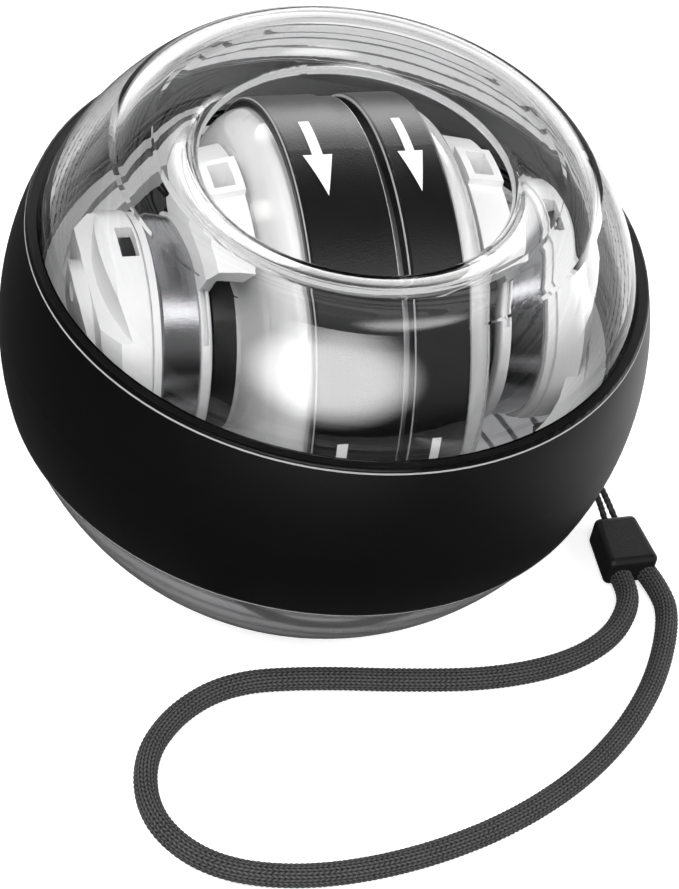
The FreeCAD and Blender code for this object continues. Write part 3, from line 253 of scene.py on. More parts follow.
# Thin string: waxed and twisted from two plies, looped through the two holes of the lanyard eye and
# gripped by the clamp at both ends.
STRING_RADIUS = 0.0004
STRING_TWIST = 0.0016
STRING_STEPS = 420
STRING_SIDES = 20
PLY_RISE = STRING_RADIUS * 0.18
STRING_ROUTE = [
    (38.3, -11.3, 2.1), (38.4, -8.3, 2.4), (37.4, -6.9, 5.0), (34.9, -7.9, 9.2), (32.0, -8.6, 13.9),
    (27.4, -7.6, 16.5), (28.0, -4.6, 16.5), (32.7, -5.6, 13.9), (35.7, -5.7, 9.4), (38.4, -6.0, 5.0),
    (39.8, -8.0, 2.4), (39.9, -11.3, 2.1),
]


def ply_rise(share, way):
    """Two plies that wind round each other."""
    return abs(math.cos(2.0 * math.pi * (share + way / STRING_TWIST)))


string_line = smooth_line("string_line", STRING_ROUTE)
string_places = evenly(string_line, STRING_STEPS)
string = woven_tube("lanyard_twine", string_places, STRING_SIDES, STRING_RADIUS, PLY_RISE, ply_rise)

# Fine grain of twine, moulded plastic or spun steel, which most finishes share in their own sizes.
grain_group = bpy.data.node_groups.new("fine_grain", "ShaderNodeTree")
for label, value in (("Grain Size", 0.0003), ("Roughness", 0.5), ("Unevenness", 0.1)):
    socket = grain_group.interface.new_socket(name=label, in_out="INPUT", socket_type="NodeSocketFloat")
    socket.default_value = value
for label in ("Roughness", "Height", "Wear"):
    grain_group.interface.new_socket(name=label, in_out="OUTPUT", socket_type="NodeSocketFloat")
group_in = grain_group.nodes.new("NodeGroupInput")
group_out = grain_group.nodes.new("NodeGroupOutput")
place = grain_group.nodes.new("ShaderNodeTexCoord")
inverse = grain_group.nodes.new("ShaderNodeMath")
inverse.operation = "DIVIDE"
inverse.inputs[0].default_value = 1.0
grain_group.links.new(group_in.outputs["Grain Size"], inverse.inputs[1])
speckle = grain_group.nodes.new("ShaderNodeTexNoise")
speckle.inputs["Detail"].default_value = 3.0
grain_group.links.new(place.outputs["Object"], speckle.inputs["Vector"])
grain_group.links.new(inverse.outputs[0], speckle.inputs["Scale"])
cloud = grain_group.nodes.new("ShaderNodeTexNoise")
cloud.inputs["Scale"].default_value = 90.0
cloud.inputs["Detail"].default_value = 4.0
grain_group.links.new(place.outputs["Object"], cloud.inputs["Vector"])
spread = grain_group.nodes.new("ShaderNodeMath")
spread.operation = "SUBTRACT"
spread.inputs[1].default_value = 0.5
grain_group.links.new(cloud.outputs["Fac"], spread.inputs[0])
uneven = grain_group.nodes.new("ShaderNodeMath")
uneven.operation = "MULTIPLY_ADD"
grain_group.links.new(spread.outputs[0], uneven.inputs[0])
grain_group.links.new(group_in.outputs["Unevenness"], uneven.inputs[1])
grain_group.links.new(group_in.outputs["Roughness"], uneven.inputs[2])
grain_group.links.new(uneven.outputs[0], group_out.inputs["Roughness"])
grain_group.links.new(speckle.outputs["Fac"], group_out.inputs["Height"])
grain_group.links.new(cloud.outputs["Fac"], group_out.inputs["Wear"])


def grained(material, shader, grain_size, depth, unevenness, tint_low=None, tint_high=None):
    """Gives a finish its grain: an uneven gloss, a slight colour change and a fine bump."""
    grain = node(material, "ShaderNodeGroup", node_tree=grain_group)
    grain.inputs["Grain Size"].default_value = grain_size
    grain.inputs["Roughness"].default_value = shader.inputs["Roughness"].default_value
    grain.inputs["Unevenness"].default_value = unevenness
    wire(material, grain.outputs["Roughness"], shader.inputs["Roughness"])
    bump = node(material, "ShaderNodeBump")
    bump.inputs["Strength"].default_value = 1.0
    bump.inputs["Distance"].default_value = depth
    wire(material, grain.outputs["Height"], bump.inputs["Height"])
    wire(material, bump.outputs["Normal"], shader.inputs["Normal"])
    if tint_low:
        tint = node(material, "ShaderNodeMix", data_type="RGBA")
        wire(material, grain.outputs["Wear"], tint.inputs["Factor"])
        tint.inputs["A"].default_value = (*tint_low, 1.0)
        tint.inputs["B"].default_value = (*tint_high, 1.0)
        wire(material, tint.outputs["Result"], shader.inputs["Base Color"])


string_finish, string_shader = finish_of("waxed_twine", (0.012, 0.012, 0.012), 0.55,
                                         Specular_IOR_Level=0.15)
grained(string_finish, string_shader, 0.00012, 0.00003, 0.2,
        (0.006, 0.006, 0.006), (0.03, 0.03, 0.03))
string.data.materials.append(string_finish)
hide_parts("lanyard_string")
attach(string, "housing")

# Cord clamp: a soft black rubber block, moulded over the cord's ends and the string's ends. Its
# faces are matt, and its rounded edges catch the light.
clamp_finish, clamp_shader = finish_of("moulded_rubber", (0.012, 0.012, 0.012), 0.55,
                                       Specular_IOR_Level=0.15)
grained(clamp_finish, clamp_shader, 0.0002, 0.00004, 0.15,
        (0.003, 0.003, 0.003), (0.006, 0.006, 0.006))
nodes["cord_clamp"].data.materials[0] = clamp_finish

# Lower shell: blow-smooth smoked plastic with a flat foot, glued to the clear shell at the race. The
# light that falls through it shows a grey, milky inside.


def open_to_light(material, shader, kept):
    """Lets light reach the pieces inside straight through a wall, which keeps back only a share."""
    rays = node(material, "ShaderNodeLightPath")
    passing = node(material, "ShaderNodeMath", operation="MAXIMUM")
    wire(material, rays.outputs["Is Shadow Ray"], passing.inputs[0])
    wire(material, rays.outputs["Is Diffuse Ray"], passing.inputs[1])
    alpha = node(material, "ShaderNodeMapRange")
    alpha.inputs["To Min"].default_value = 1.0
    alpha.inputs["To Max"].default_value = kept
    wire(material, passing.outputs[0], alpha.inputs["Value"])
    wire(material, alpha.outputs["Result"], shader.inputs["Alpha"])


smoked, smoked_shader = finish_of("smoked_plastic", (0.42, 0.42, 0.43), 0.06,
                                  Transmission_Weight=1.0, IOR=1.5)
grained(smoked, smoked_shader, 0.004, 0.00001, 0.04)
open_to_light(smoked, smoked_shader, 0.75)
nodes["lower_shell"].data.materials[0] = smoked

# Upper shell: thick, polished clear plastic. Its crest turns down into a funnel lip round the thumb
# opening, and the wall bends the light of everything behind it.

# Rings left by turning, which the clear shell's mould and the steel cans share. They run round the
# Z axis of the place that goes in, so the cans turn that place first.
ring_group = bpy.data.node_groups.new("turning_rings", "ShaderNodeTree")
ring_group.interface.new_socket(name="Place", in_out="INPUT", socket_type="NodeSocketVector")
ring_group.interface.new_socket(name="Ring Width", in_out="INPUT", socket_type="NodeSocketFloat")
ring_group.interface.new_socket(name="Height", in_out="OUTPUT", socket_type="NodeSocketFloat")
rings_in = ring_group.nodes.new("NodeGroupInput")
rings_out = ring_group.nodes.new("NodeGroupOutput")
flat = ring_group.nodes.new("ShaderNodeVectorMath")
flat.operation = "MULTIPLY"
flat.inputs[1].default_value = (1.0, 1.0, 0.0)
reach = ring_group.nodes.new("ShaderNodeVectorMath")
reach.operation = "LENGTH"
height = ring_group.nodes.new("ShaderNodeSeparateXYZ")
slice_place = ring_group.nodes.new("ShaderNodeCombineXYZ")
finer = ring_group.nodes.new("ShaderNodeMath")
finer.operation = "DIVIDE"
finer.inputs[0].default_value = 1.0
ripple = ring_group.nodes.new("ShaderNodeTexNoise")
ripple.noise_dimensions = "2D"
ripple.inputs["Detail"].default_value = 2.0
for output, socket in (
    (rings_in.outputs["Place"], flat.inputs[0]),
    (flat.outputs["Vector"], reach.inputs[0]),
    (rings_in.outputs["Place"], height.inputs[0]),
    (reach.outputs["Value"], slice_place.inputs["X"]),
    (height.outputs["Z"], slice_place.inputs["Y"]),
    (rings_in.outputs["Ring Width"], finer.inputs[1]),
    (slice_place.outputs[0], ripple.inputs["Vector"]),
    (finer.outputs[0], ripple.inputs["Scale"]),
    (ripple.outputs["Fac"], rings_out.inputs["Height"]),
):
    ring_group.links.new(output, socket)


def ringed(material, shader, ring_width, depth, turn=(0.0, 0.0, 0.0), center=(0.0, 0.0, 0.0)):
    """Lays turning rings over a finish's grain."""
    place = node(material, "ShaderNodeTexCoord")
    turned = node(material, "ShaderNodeMapping", vector_type="TEXTURE")
    turned.inputs["Location"].default_value = center
    turned.inputs["Rotation"].default_value = turn
    wire(material, place.outputs["Object"], turned.inputs["Vector"])
    rings = node(material, "ShaderNodeGroup", node_tree=ring_group)
    rings.inputs["Ring Width"].default_value = ring_width
    wire(material, turned.outputs["Vector"], rings.inputs["Place"])
    bump = node(material, "ShaderNodeBump")
    bump.inputs["Distance"].default_value = depth
    wire(material, rings.outputs["Height"], bump.inputs["Height"])
    link = shader.inputs["Normal"].links[0]
    wire(material, link.from_socket, bump.inputs["Normal"])
    wire(material, bump.outputs["Normal"], shader.inputs["Normal"])


clear, clear_shader = finish_of("clear_plastic", (0.95, 0.95, 0.955), 0.0,
                                Transmission_Weight=1.0, IOR=1.5)
grained(clear, clear_shader, 0.006, 0.000002, 0.01)
ringed(clear, clear_shader, 0.0013, 0.000003)
open_to_light(clear, clear_shader, 0.08)
nodes["upper_shell"].data.materials[0] = clear

# Band: a soft-touch rubber sleeve, stretched over the seam of the shells. Its wall is smooth and
# black, with a painted highlight: a thin light line coloured in below its top and above its foot.
BAND_LINE_BELOW_TOP = 0.00052
BAND_LINE_ABOVE_FOOT = 0.0002
BAND_LINE_WIDTH = 0.0001
BAND_HIGHLIGHT_TONE = 0.35

# Painted highlights on moulded edges: thin light lines, coloured into the surface, at up to four places
# along one axis.
edge_group = bpy.data.node_groups.new("painted_edge_highlights", "ShaderNodeTree")
EDGE_LABELS = ("First", "Second", "Third", "Fourth")
for label in ("Place", *EDGE_LABELS, "Width"):
    edge_group.interface.new_socket(name=label, in_out="INPUT", socket_type="NodeSocketFloat")
edge_group.interface.new_socket(name="Line", in_out="OUTPUT", socket_type="NodeSocketFloat")
edges_in = edge_group.nodes.new("NodeGroupInput")
edges_out = edge_group.nodes.new("NodeGroupOutput")
line = None
for label in EDGE_LABELS:
    near = edge_group.nodes.new("ShaderNodeMath")
    near.operation = "COMPARE"
    for socket, name in zip(near.inputs, ("Place", label, "Width")):
        edge_group.links.new(edges_in.outputs[name], socket)
    if line is None:
        line = near.outputs[0]
        continue
    either = edge_group.nodes.new("ShaderNodeMath")
    either.operation = "MAXIMUM"
    edge_group.links.new(line, either.inputs[0])
    edge_group.links.new(near.outputs[0], either.inputs[1])
    line = either.outputs[0]
edge_group.links.new(line, edges_out.inputs["Line"])


def painted_edge_highlights(material, shader, axis, edges, width, tone):
    """Paints two or four edge highlights as light lines across a finish, each at its place along an
    axis.
    """
    place = node(material, "ShaderNodeTexCoord")
    apart = node(material, "ShaderNodeSeparateXYZ")
    wire(material, place.outputs["Object"], apart.inputs[0])
    lines = node(material, "ShaderNodeGroup", node_tree=edge_group)
    wire(material, apart.outputs[axis], lines.inputs["Place"])
    for label, edge in zip(EDGE_LABELS, edges * 2):
        lines.inputs[label].default_value = edge
    lines.inputs["Width"].default_value = width
    # Painted highlight: the lines lighten the base colour towards the given tone.
    edge_highlight = node(material, "ShaderNodeMix", data_type="RGBA")
    edge_highlight.inputs["B"].default_value = (tone, tone, tone, 1.0)
    wire(material, shader.inputs["Base Color"].links[0].from_socket, edge_highlight.inputs["A"])
    wire(material, lines.outputs["Line"], edge_highlight.inputs["Factor"])
    wire(material, edge_highlight.outputs["Result"], shader.inputs["Base Color"])


band_finish, band_shader = finish_of("soft_touch_rubber", (0.004, 0.004, 0.004), 0.4,
                                     Specular_IOR_Level=0.12)
grained(band_finish, band_shader, 0.00018, 0.000012, 0.08,
        (0.001, 0.001, 0.001), (0.002, 0.002, 0.002))
band_low, band_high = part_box("band")
band_highlight_lines = (band_high[2] - BAND_LINE_BELOW_TOP, band_low[2] + BAND_LINE_ABOVE_FOOT)
# Painted highlight: two light lines coloured into the band, below its top and above its foot.
painted_edge_highlights(band_finish, band_shader, "Z", band_highlight_lines, BAND_LINE_WIDTH, BAND_HIGHLIGHT_TONE)
nodes["band"].data.materials[0] = band_finish

# Carrier ring and end blocks: a white moulded ring that lies in the race, and frosted plastic blocks
# screwed on at both ends of the axle. They stay still while the rotor spins between them.
white, white_shader = finish_of("white_moulding", (0.7, 0.7, 0.7), 0.35)
grained(white, white_shader, 0.0004, 0.000015, 0.1, (0.64, 0.64, 0.64), (0.72, 0.72, 0.72))
nodes["carrier_ring"].data.materials[0] = white
frosted, frosted_shader = finish_of("frosted_white", (0.8, 0.8, 0.8), 0.3, Subsurface_Weight=0.2)
frosted_shader.inputs["Subsurface Radius"].default_value = (0.002, 0.002, 0.002)
grained(frosted, frosted_shader, 0.0004, 0.000015, 0.1, (0.7, 0.7, 0.7), (0.78, 0.78, 0.78))
for end in ("left", "right"):
    nodes[f"end_block_{end}"].data.materials[0] = frosted

# Drums and their lids: spun steel cans with a fine grain round the axle, closed by white moulded
# lids whose arms carry the frames beside the rims.
steel, steel_shader = finish_of("spun_steel", (0.55, 0.55, 0.56), 0.17, Metallic=1.0)
grained(steel, steel_shader, 0.00014, 0.00002, 0.12, (0.34, 0.34, 0.35), (0.5, 0.5, 0.51))
ringed(steel, steel_shader, 0.0005, 0.00002, turn=(0.0, math.pi / 2.0, 0.0), center=ball_center)
lid_finish, lid_shader = finish_of("white_lid", (0.7, 0.7, 0.7), 0.3)
grained(lid_finish, lid_shader, 0.0004, 0.000015, 0.1, (0.68, 0.68, 0.68), (0.76, 0.76, 0.76))
for end in ("left", "right"):
    nodes[f"drum_{end}"].data.materials[0] = steel
    nodes[f"drum_lid_{end}"].data.materials[0] = lid_finish

# Turned and ground steel: the axle, the bearings, the long screws and the mainspring. They are bright
# and smooth, with the faint marks of the stone.
bright, bright_shader = finish_of("ground_steel", (0.62, 0.62, 0.63), 0.22, Metallic=1.0)
grained(bright, bright_shader, 0.0002, 0.00001, 0.12, (0.5, 0.5, 0.51), (0.66, 0.66, 0.67))
for name, piece in nodes.items():
    if name.startswith(("axle", "bearing_", "block_screws_", "hub_screws_", "mainspring")):
        piece.data.materials[0] = bright

# Flywheel: a heavy cast wheel, turned on its rim and pressed on the axle. It stores the spin under
# the black rims.
cast, cast_shader = finish_of("cast_wheel", (0.32, 0.32, 0.33), 0.5, Metallic=1.0)
grained(cast, cast_shader, 0.0006, 0.00008, 0.2, (0.2, 0.2, 0.21), (0.4, 0.4, 0.41))
nodes["flywheel"].data.materials[0] = cast

# Grip rims and hub cups: black plastic mouldings pressed on both sides of the flywheel. The rims have
# a fine matt grain, a groove between them, and painted highlights: thin light lines along their edges.
RIM_HIGHLIGHT_LINES = (-0.00852, 0.00118, 0.0024, 0.00852)
RIM_LINE_WIDTH = 0.00007
RIM_HIGHLIGHT_TONE = 0.3
rim, rim_shader = finish_of("rim_black", (0.008, 0.008, 0.008), 0.4, Specular_IOR_Level=0.4)
grained(rim, rim_shader, 0.00022, 0.00003, 0.1, (0.002, 0.002, 0.002), (0.005, 0.005, 0.005))
# Painted highlight: light lines on the rims' outer edges and on both edges of the groove between them.
painted_edge_highlights(rim, rim_shader, "X", RIM_HIGHLIGHT_LINES, RIM_LINE_WIDTH, RIM_HIGHLIGHT_TONE)
cup, cup_shader = finish_of("cup_black", (0.012, 0.012, 0.012), 0.25, Specular_IOR_Level=0.3)
grained(cup, cup_shader, 0.0004, 0.00001, 0.08, (0.008, 0.008, 0.008), (0.02, 0.02, 0.02))
for end in ("left", "right"):
    nodes[f"grip_rim_{end}"].data.materials[0] = rim
    nodes[f"hub_cup_{end}"].data.materials[0] = cup

# Side covers: thin translucent plastic discs, pushed over the lamps on both sides of the rotor. They
# blur what lies behind them.
cover, cover_shader = finish_of("clear_cover", (0.93, 0.93, 0.93), 0.12,
                                Transmission_Weight=0.7, IOR=1.46)
grained(cover, cover_shader, 0.003, 0.00001, 0.05)
open_to_light(cover, cover_shader, 0.15)
for end in ("left", "right"):
    nodes[f"side_cover_{end}"].data.materials[0] = cover

# Inside the hub and the drums: the black nylon starter with its pawls, the sintered magnet, the
# copper coil, and the lamp boards with their lamps.
nylon, nylon_shader = finish_of("black_nylon", (0.03, 0.03, 0.03), 0.6)
grained(nylon, nylon_shader, 0.0003, 0.00002, 0.1, (0.02, 0.02, 0.02), (0.04, 0.04, 0.04))
magnet, magnet_shader = finish_of("sintered_magnet", (0.1, 0.1, 0.11), 0.45, Metallic=0.6)
grained(magnet, magnet_shader, 0.0002, 0.00003, 0.2, (0.07, 0.07, 0.08), (0.13, 0.13, 0.14))
copper, copper_shader = finish_of("enamelled_copper", (0.5, 0.22, 0.1), 0.3, Metallic=1.0)
grained(copper, copper_shader, 0.0001, 0.00003, 0.15, (0.4, 0.17, 0.08), (0.55, 0.26, 0.12))
board, board_shader = finish_of("board_lacquer", (0.6, 0.6, 0.6), 0.35)
grained(board, board_shader, 0.0006, 0.00001, 0.1, (0.55, 0.55, 0.55), (0.65, 0.65, 0.65))
lamp, lamp_shader = finish_of("lamp_lens", (0.9, 0.9, 0.88), 0.1)
grained(lamp, lamp_shader, 0.0005, 0.00001, 0.05, (0.85, 0.85, 0.82), (0.92, 0.92, 0.9))
for name, piece in nodes.items():
    for start, finish in (("spring_arbor", nylon), ("ratchet_wheel", nylon), ("pawl_ring", nylon),
                          ("ring_magnet", magnet), ("pickup_coil", copper), ("lamp_board_", board),
                          ("lamps_", lamp)):
        if name.startswith(start):
            piece.data.materials[0] = finish

# Spin arrows: white ink arrows with a thin dark outline, printed round both rims a quarter turn
# apart, that point the way the thumb rolls the rotor.
RIM_RADIUS = 0.0253
INK_SKIN = 0.00002
ARROW_EDGE = 0.00012
ARROW_ROWS = 12
ARROWS = 4
# Each rim's arrow: place across, shaft width, head width, then tail, head's base and tip in degrees.
ARROW_LOOKS = {
    "left": (-0.0052, 0.0012, 0.0033, 102.0, 88.0, 75.0),
    "right": (0.0053, 0.001, 0.00285, 102.0, 88.0, 75.0),
}
ink, ink_shader = finish_of("white_ink", (0.85, 0.85, 0.85), 0.4)
grained(ink, ink_shader, 0.0001, 0.000005, 0.1, (0.8, 0.8, 0.8), (0.88, 0.88, 0.88))
edge_ink, edge_ink_shader = finish_of("dark_ink", (0.01, 0.01, 0.01), 0.4)
grained(edge_ink, edge_ink_shader, 0.0001, 0.000005, 0.1,
        (0.008, 0.008, 0.008), (0.014, 0.014, 0.014))


def arrow_shape(name, across, shaft, head, tail, base, tip, grow, lift):
    """One printed arrow: rows of faces that follow the rim's curve, thickened to a skin of ink."""
    shape = bmesh.new()
    slope = math.radians(base - tip) * RIM_RADIUS / (head / 2.0)
    grow_turn = grow / RIM_RADIUS
    start, middle, end = (math.radians(turn) for turn in (tail, base, tip))
    neck = middle + grow_turn
    spots = [(start + grow_turn + (neck - start - grow_turn) * step / ARROW_ROWS, shaft / 2.0 + grow)
             for step in range(ARROW_ROWS)]
    widest = head / 2.0 + grow * (1.0 + math.hypot(1.0, slope)) / slope
    point = end - grow * 1.6 / RIM_RADIUS
    spots.append((neck, shaft / 2.0 + grow))
    spots += [(neck + (point - neck) * step / ARROW_ROWS, widest * (1.0 - step / ARROW_ROWS))
              for step in range(ARROW_ROWS)]
    rows = []
    for turn, half in spots + [(point, 0.0)]:
        reach = RIM_RADIUS + lift
        center = Vector((across, -math.cos(turn) * reach, ball_center.z + math.sin(turn) * reach))
        halves = (-half, half) if half else (0.0,)
        rows.append([shape.verts.new(center + Vector((side, 0.0, 0.0))) for side in halves])
    for number, (before, after) in enumerate(zip(rows, rows[1:])):
        if number != ARROW_ROWS:    # the head starts anew, wider than the shaft
            shape.faces.new(before[::-1] + after)
    bmesh.ops.recalc_face_normals(shape, faces=shape.faces)
    bmesh.ops.solidify(shape, geom=list(shape.faces), thickness=INK_SKIN)
    bmesh.ops.recalc_face_normals(shape, faces=shape.faces)
    mesh = bpy.data.meshes.new(name)
    shape.to_mesh(mesh)
    shape.free()
    return mesh


# One tree prints an arrow again and again round the axle, by its count, and gives it its ink.
print_tree = bpy.data.node_groups.new("print_round_the_rim", "GeometryNodeTree")
for label, kind in (("Arrow", "NodeSocketGeometry"), ("Count", "NodeSocketInt"),
                    ("Axle", "NodeSocketVector"), ("Ink", "NodeSocketMaterial")):
    print_tree.interface.new_socket(name=label, in_out="INPUT", socket_type=kind)
print_tree.interface.new_socket(name="Arrows", in_out="OUTPUT", socket_type="NodeSocketGeometry")
print_in = print_tree.nodes.new("NodeGroupInput")
print_out = print_tree.nodes.new("NodeGroupOutput")
stamp = print_tree.nodes.new("GeometryNodeGeometryToInstance")
copies = print_tree.nodes.new("GeometryNodeDuplicateElements")
copies.domain = "INSTANCE"
one_step = print_tree.nodes.new("ShaderNodeMath")
one_step.operation = "DIVIDE"
one_step.inputs[0].default_value = 2.0 * math.pi
turn_by = print_tree.nodes.new("ShaderNodeMath")
turn_by.operation = "MULTIPLY"
about_axle = print_tree.nodes.new("ShaderNodeCombineXYZ")
turned = print_tree.nodes.new("GeometryNodeRotateInstances")
turned.inputs["Local Space"].default_value = False
realized = print_tree.nodes.new("GeometryNodeRealizeInstances")
inked = print_tree.nodes.new("GeometryNodeSetMaterial")
for output, socket in (
    (print_in.outputs["Arrow"], stamp.inputs[0]),
    (stamp.outputs["Instances"], copies.inputs["Geometry"]),
    (print_in.outputs["Count"], copies.inputs["Amount"]),
    (print_in.outputs["Count"], one_step.inputs[1]),
    (one_step.outputs[0], turn_by.inputs[0]),
    (copies.outputs["Duplicate Index"], turn_by.inputs[1]),
    (turn_by.outputs[0], about_axle.inputs["X"]),
    (copies.outputs["Geometry"], turned.inputs["Instances"]),
    (about_axle.outputs[0], turned.inputs["Rotation"]),
    (print_in.outputs["Axle"], turned.inputs["Pivot Point"]),
    (turned.outputs["Instances"], realized.inputs["Geometry"]),
    (realized.outputs["Geometry"], inked.inputs["Geometry"]),
    (print_in.outputs["Ink"], inked.inputs["Material"]),
    (inked.outputs["Geometry"], print_out.inputs["Arrows"]),
):
    print_tree.links.new(output, socket)


def made_by(tree, name, mesh, **values):
    """The plain mesh piece that a tree of geometry nodes makes from a mesh and named values."""
    holder = bpy.data.objects.new(name + "_maker", mesh)
    bpy.context.collection.objects.link(holder)
    modifier = holder.modifiers.new("maker", "NODES")
    modifier.node_group = tree
    for item in tree.interface.items_tree:
        if item.item_type == "SOCKET" and item.in_out == "INPUT" and item.name in values:
            modifier[item.identifier] = values[item.name]
    holder.update_tag()
    bpy.context.view_layer.update()
    evaluated = holder.evaluated_get(bpy.context.evaluated_depsgraph_get())
    plain = bpy.data.meshes.new_from_object(evaluated)
    plain.name = name
    bpy.data.objects.remove(holder)
    piece = bpy.data.objects.new(name, plain)
    bpy.context.collection.objects.link(piece)
    return piece


for end, look in ARROW_LOOKS.items():
    for label, grow, lift, finish in (("arrow_edge", ARROW_EDGE, INK_SKIN, edge_ink),
                                      ("arrow", 0.0, INK_SKIN * 2.0, ink)):
        name = f"{label}_{end}"
        shape = arrow_shape(name, *look, grow, lift)
        arrow = made_by(print_tree, name, shape, Count=ARROWS, Axle=ball_center[:], Ink=finish)
        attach(arrow, "rotor")

# Table: a wide sheet of white paper. Round dark flags on it show as lines in the clear plastic, and a
# bright card to the right of the ball shows as the sheen of the band.
FLOOR_HALF = 3.0
FLOOR_GAP = 0.00002
FLAG_PACE = 50.0
FLAG_START = 0.8
CARD_WAY = (0.97, 0.24, 0.0)
CARD_NEAR, CARD_FAR = 0.035, 0.15
CARD_SOFTNESS = 20.0
PAPER_GLOW, CARD_GLOW = 0.6, 1.6
PAPER_TONE, DARK_TONE = 0.8, 0.08
floor_mesh = bpy.data.meshes.new("studio_floor")
corners = [(-FLOOR_HALF, -FLOOR_HALF, 0.0), (FLOOR_HALF, -FLOOR_HALF, 0.0),
           (FLOOR_HALF, FLOOR_HALF, 0.0), (-FLOOR_HALF, FLOOR_HALF, 0.0)]
floor_mesh.from_pydata([(x, y, z - FLOOR_GAP) for x, y, z in corners], [], [(0, 1, 2, 3)])
floor = bpy.data.objects.new("studio_floor", floor_mesh)
bpy.context.collection.objects.link(floor)
paper, paper_shader = finish_of("studio_paper", (PAPER_TONE,) * 3, 0.9)
paper_rays = node(paper, "ShaderNodeLightPath")


def paper_math(operation, first, second):
    """One step of arithmetic on how the paper looks."""
    step = node(paper, "ShaderNodeMath", operation=operation)
    for socket, value in zip(step.inputs, (first, second)):
        if isinstance(value, float):
            socket.default_value = value
        else:
            wire(paper, value, socket)
    return step.outputs[0]


# The round dark flags, which only the looks through clear plastic meet. Each is wider than the last.
paper_place = node(paper, "ShaderNodeTexCoord")
paper_reach = node(paper, "ShaderNodeVectorMath", operation="LENGTH")
wire(paper, paper_place.outputs["Object"], paper_reach.inputs[0])
paper_log = paper_math("LOGARITHM", paper_reach.outputs["Value"], math.e)
paper_wave = paper_math("SINE", paper_math("MULTIPLY", paper_log, FLAG_PACE), 0.0)
paper_flag = paper_math("MULTIPLY", paper_math("GREATER_THAN", paper_wave, FLAG_START),
                        paper_rays.outputs["Is Transmission Ray"])
paper_white = paper_math("MAXIMUM", paper_rays.outputs["Is Camera Ray"],
                         paper_math("SUBTRACT", paper_rays.outputs["Is Transmission Ray"], paper_flag))

# The card lies between two distances along its way, with soft edges. Only mirrored looks meet it.
paper_side = node(paper, "ShaderNodeVectorMath", operation="DOT_PRODUCT")
paper_side.inputs[1].default_value = CARD_WAY
wire(paper, paper_place.outputs["Object"], paper_side.inputs[0])
past_near = paper_math("SUBTRACT", paper_side.outputs["Value"], CARD_NEAR)
before_far = paper_math("SUBTRACT", CARD_FAR, paper_side.outputs["Value"])
paper_near = paper_math("MULTIPLY", past_near, CARD_SOFTNESS)
paper_far = paper_math("MULTIPLY", before_far, CARD_SOFTNESS)
paper_card = paper_math("MULTIPLY", paper_math("MULTIPLY", paper_near, paper_far),
                        paper_math("SUBTRACT", paper_rays.outputs["Is Glossy Ray"],
                                   paper_rays.outputs["Is Transmission Ray"]))
for share in (paper_near, paper_far, paper_card):
    share.node.use_clamp = True
paper_glow = paper_math("ADD", paper_math("MULTIPLY", paper_white, PAPER_GLOW),
                        paper_math("MULTIPLY", paper_card, CARD_GLOW))
paper_shader.inputs["Emission Color"].default_value = (1.0, 1.0, 1.0, 1.0)
wire(paper, paper_glow, paper_shader.inputs["Emission Strength"])
paper_tone = node(paper, "ShaderNodeMix", data_type="RGBA")
paper_tone.inputs["A"].default_value = (PAPER_TONE, PAPER_TONE, PAPER_TONE, 1.0)
paper_tone.inputs["B"].default_value = (DARK_TONE, DARK_TONE, DARK_TONE, 1.0)
paper_dark = paper_math("MAXIMUM", paper_rays.outputs["Is Glossy Ray"], paper_flag)
wire(paper, paper_dark, paper_tone.inputs["Factor"])
wire(paper, paper_tone.outputs["Result"], paper_shader.inputs["Base Color"])
floor.data.materials.append(paper)

# Surround: a white wall behind the ball and a darker room in front of it. Grey and black flags hang
# round it at their heights, and thin dark lines cross it where clear plastic shows it.
BEHIND_WAY = (0.38, 0.92, 0.0)
BEHIND_GAIN, BEHIND_START = 2.0, 0.65
UPWARD = (0.0, 0.0, 1.0)
LINE_PACE = 90.0
LINE_START = 0.5
LINE_DARKNESS = 0.85
# Each flag's height, from the table's edge to overhead, and its brightness there.
FLAG_TONES = [
    (0.0, 0.0), (0.04, 0.0), (0.07, 0.8), (0.19, 0.7), (0.23, 0.02), (0.29, 0.02), (0.33, 0.3),
    (0.5, 0.2), (0.6, 0.02), (0.78, 0.02), (0.83, 0.25), (0.9, 0.02), (1.0, 0.02),
]
world = bpy.data.worlds.new("studio")
world.use_nodes = True
bpy.context.scene.world = world
sky_tree = world.node_tree
sky = sky_tree.nodes["Background"]
sky.inputs["Color"].default_value = (1.0, 1.0, 1.0, 1.0)


def sky_math(operation, first, second, third=None):
    """One step of arithmetic on what the sky gives out."""
    step = sky_tree.nodes.new("ShaderNodeMath")
    step.operation = operation
    for socket, value in zip(step.inputs, (first, second, third)):
        if isinstance(value, float):
            socket.default_value = value
        elif value is not None:
            sky_tree.links.new(value, socket)
    return step.outputs[0]


sky_place = sky_tree.nodes.new("ShaderNodeTexCoord")


def along(direction):
    """How far a look into the sky goes along one direction."""
    dot = sky_tree.nodes.new("ShaderNodeVectorMath")
    dot.operation = "DOT_PRODUCT"
    dot.inputs[1].default_value = direction
    sky_tree.links.new(sky_place.outputs["Generated"], dot.inputs[0])
    return dot.outputs["Value"]


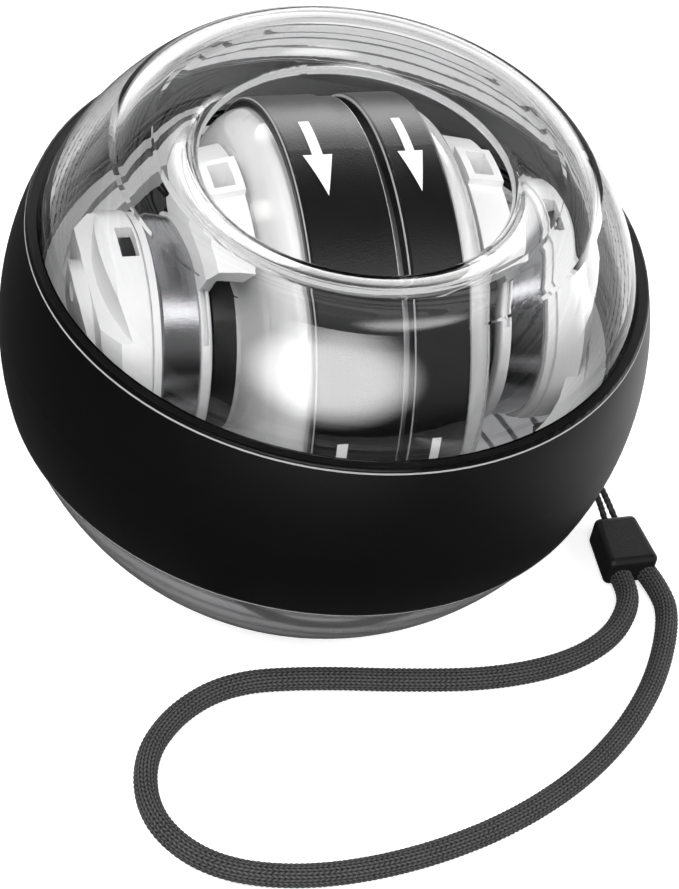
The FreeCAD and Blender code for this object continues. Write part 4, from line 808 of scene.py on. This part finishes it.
flags = sky_tree.nodes.new("ShaderNodeValToRGB")
flags.color_ramp.interpolation = "EASE"
while len(flags.color_ramp.elements) < len(FLAG_TONES):
    flags.color_ramp.elements.new(0.5)
for element, (height, tone) in zip(flags.color_ramp.elements, FLAG_TONES):
    element.position = height
    element.color = (tone, tone, tone, 1.0)
sky_tree.links.new(along(UPWARD), flags.inputs["Fac"])
sky_rays = sky_tree.nodes.new("ShaderNodeLightPath")
behind = sky_math("MULTIPLY_ADD", along(BEHIND_WAY), BEHIND_GAIN, BEHIND_START)
behind.node.use_clamp = True
sky_wave = sky_math("SINE", sky_math("MULTIPLY", along(UPWARD), LINE_PACE), 0.0)
lines = sky_math("GREATER_THAN", sky_wave, LINE_START)
lit = sky_math("MULTIPLY_ADD", lines, -LINE_DARKNESS, 1.0)
shown = sky_math("MULTIPLY", sky_rays.outputs["Is Transmission Ray"], lit)
seen_through = sky_math("MULTIPLY", shown, behind)
mirrored = sky_math("MULTIPLY", sky_math("MULTIPLY", flags.outputs["Color"], behind), lit)
other_rays = sky_math("SUBTRACT", sky_math("SUBTRACT", 1.0, sky_rays.outputs["Is Camera Ray"]),
                      sky_rays.outputs["Is Transmission Ray"])
sky_light = sky_math("MULTIPLY_ADD", mirrored, other_rays, seen_through)
sky_strength = sky_math("ADD", sky_light, sky_rays.outputs["Is Camera Ray"])
sky_tree.links.new(sky_strength, sky.inputs["Strength"])


# Lamps: soft ovals round the ball. The front one shows as the pale oval on the dome, the one behind
# draws the rims, the high one the drums, and the right one the ball's right flank. The key, the
# fill and the side lamp light the plain surfaces.
LAMP_DISTANCE = 0.7
LAMP_RIM, LAMP_CORE = 0.5, 0.2


def studio_lamp(name, azimuth, elevation, width, height, radiance,
                on_gloss=True, on_surface=True, through=False):
    """An oval lamp with a soft edge. Its width and height are degrees, seen from the ball."""
    data = bpy.data.lights.new(name, "AREA")
    data.shape = "ELLIPSE"
    data.size = 2.0 * LAMP_DISTANCE * math.tan(math.radians(width / 2.0))
    data.size_y = 2.0 * LAMP_DISTANCE * math.tan(math.radians(height / 2.0))
    data.energy = radiance * math.pi * math.pi / 4.0 * data.size * data.size_y
    data.use_nodes = True
    tree = data.node_tree
    spot = tree.nodes.new("ShaderNodeNewGeometry")
    middle = tree.nodes.new("ShaderNodeVectorMath")
    middle.operation = "DISTANCE"
    middle.inputs[1].default_value = (0.5, 0.5, 0.0)
    tree.links.new(spot.outputs["Parametric"], middle.inputs[0])
    edge = tree.nodes.new("ShaderNodeMapRange")
    edge.interpolation_type = "SMOOTHSTEP"
    edge.inputs["From Min"].default_value = LAMP_RIM
    edge.inputs["From Max"].default_value = LAMP_CORE
    tree.links.new(middle.outputs["Value"], edge.inputs["Value"])
    tree.links.new(edge.outputs["Result"], tree.nodes["Emission"].inputs["Strength"])
    piece = bpy.data.objects.new(name, data)
    bpy.context.collection.objects.link(piece)
    around, up = math.radians(azimuth), math.radians(elevation)
    toward = Vector((math.sin(around) * math.cos(up), -math.cos(around) * math.cos(up), math.sin(up)))
    piece.location = ball_center + toward * LAMP_DISTANCE
    piece.rotation_euler = toward.to_track_quat("Z", "Y").to_euler()
    piece.visible_diffuse = on_surface
    piece.visible_glossy = on_gloss
    piece.visible_transmission = through
    piece.visible_camera = False


studio_lamp("lamp_oval", -15.0, 22.0, 68.0, 38.0, 16.0, on_surface=False)
studio_lamp("lamp_behind", 165.0, 14.0, 90.0, 44.0, 6.0, on_surface=False)
studio_lamp("lamp_high", 26.0, 56.0, 44.0, 26.0, 4.0, on_surface=False, through=True)
studio_lamp("lamp_right", 104.0, -4.0, 50.0, 44.0, 10.0, on_surface=False)
studio_lamp("lamp_key", -30.0, 55.0, 60.0, 60.0, 6.5, on_gloss=False)
studio_lamp("lamp_fill", 60.0, 35.0, 50.0, 50.0, 5.5, on_gloss=False)
studio_lamp("lamp_side", -100.0, 35.0, 50.0, 50.0, 5.5, on_gloss=False)
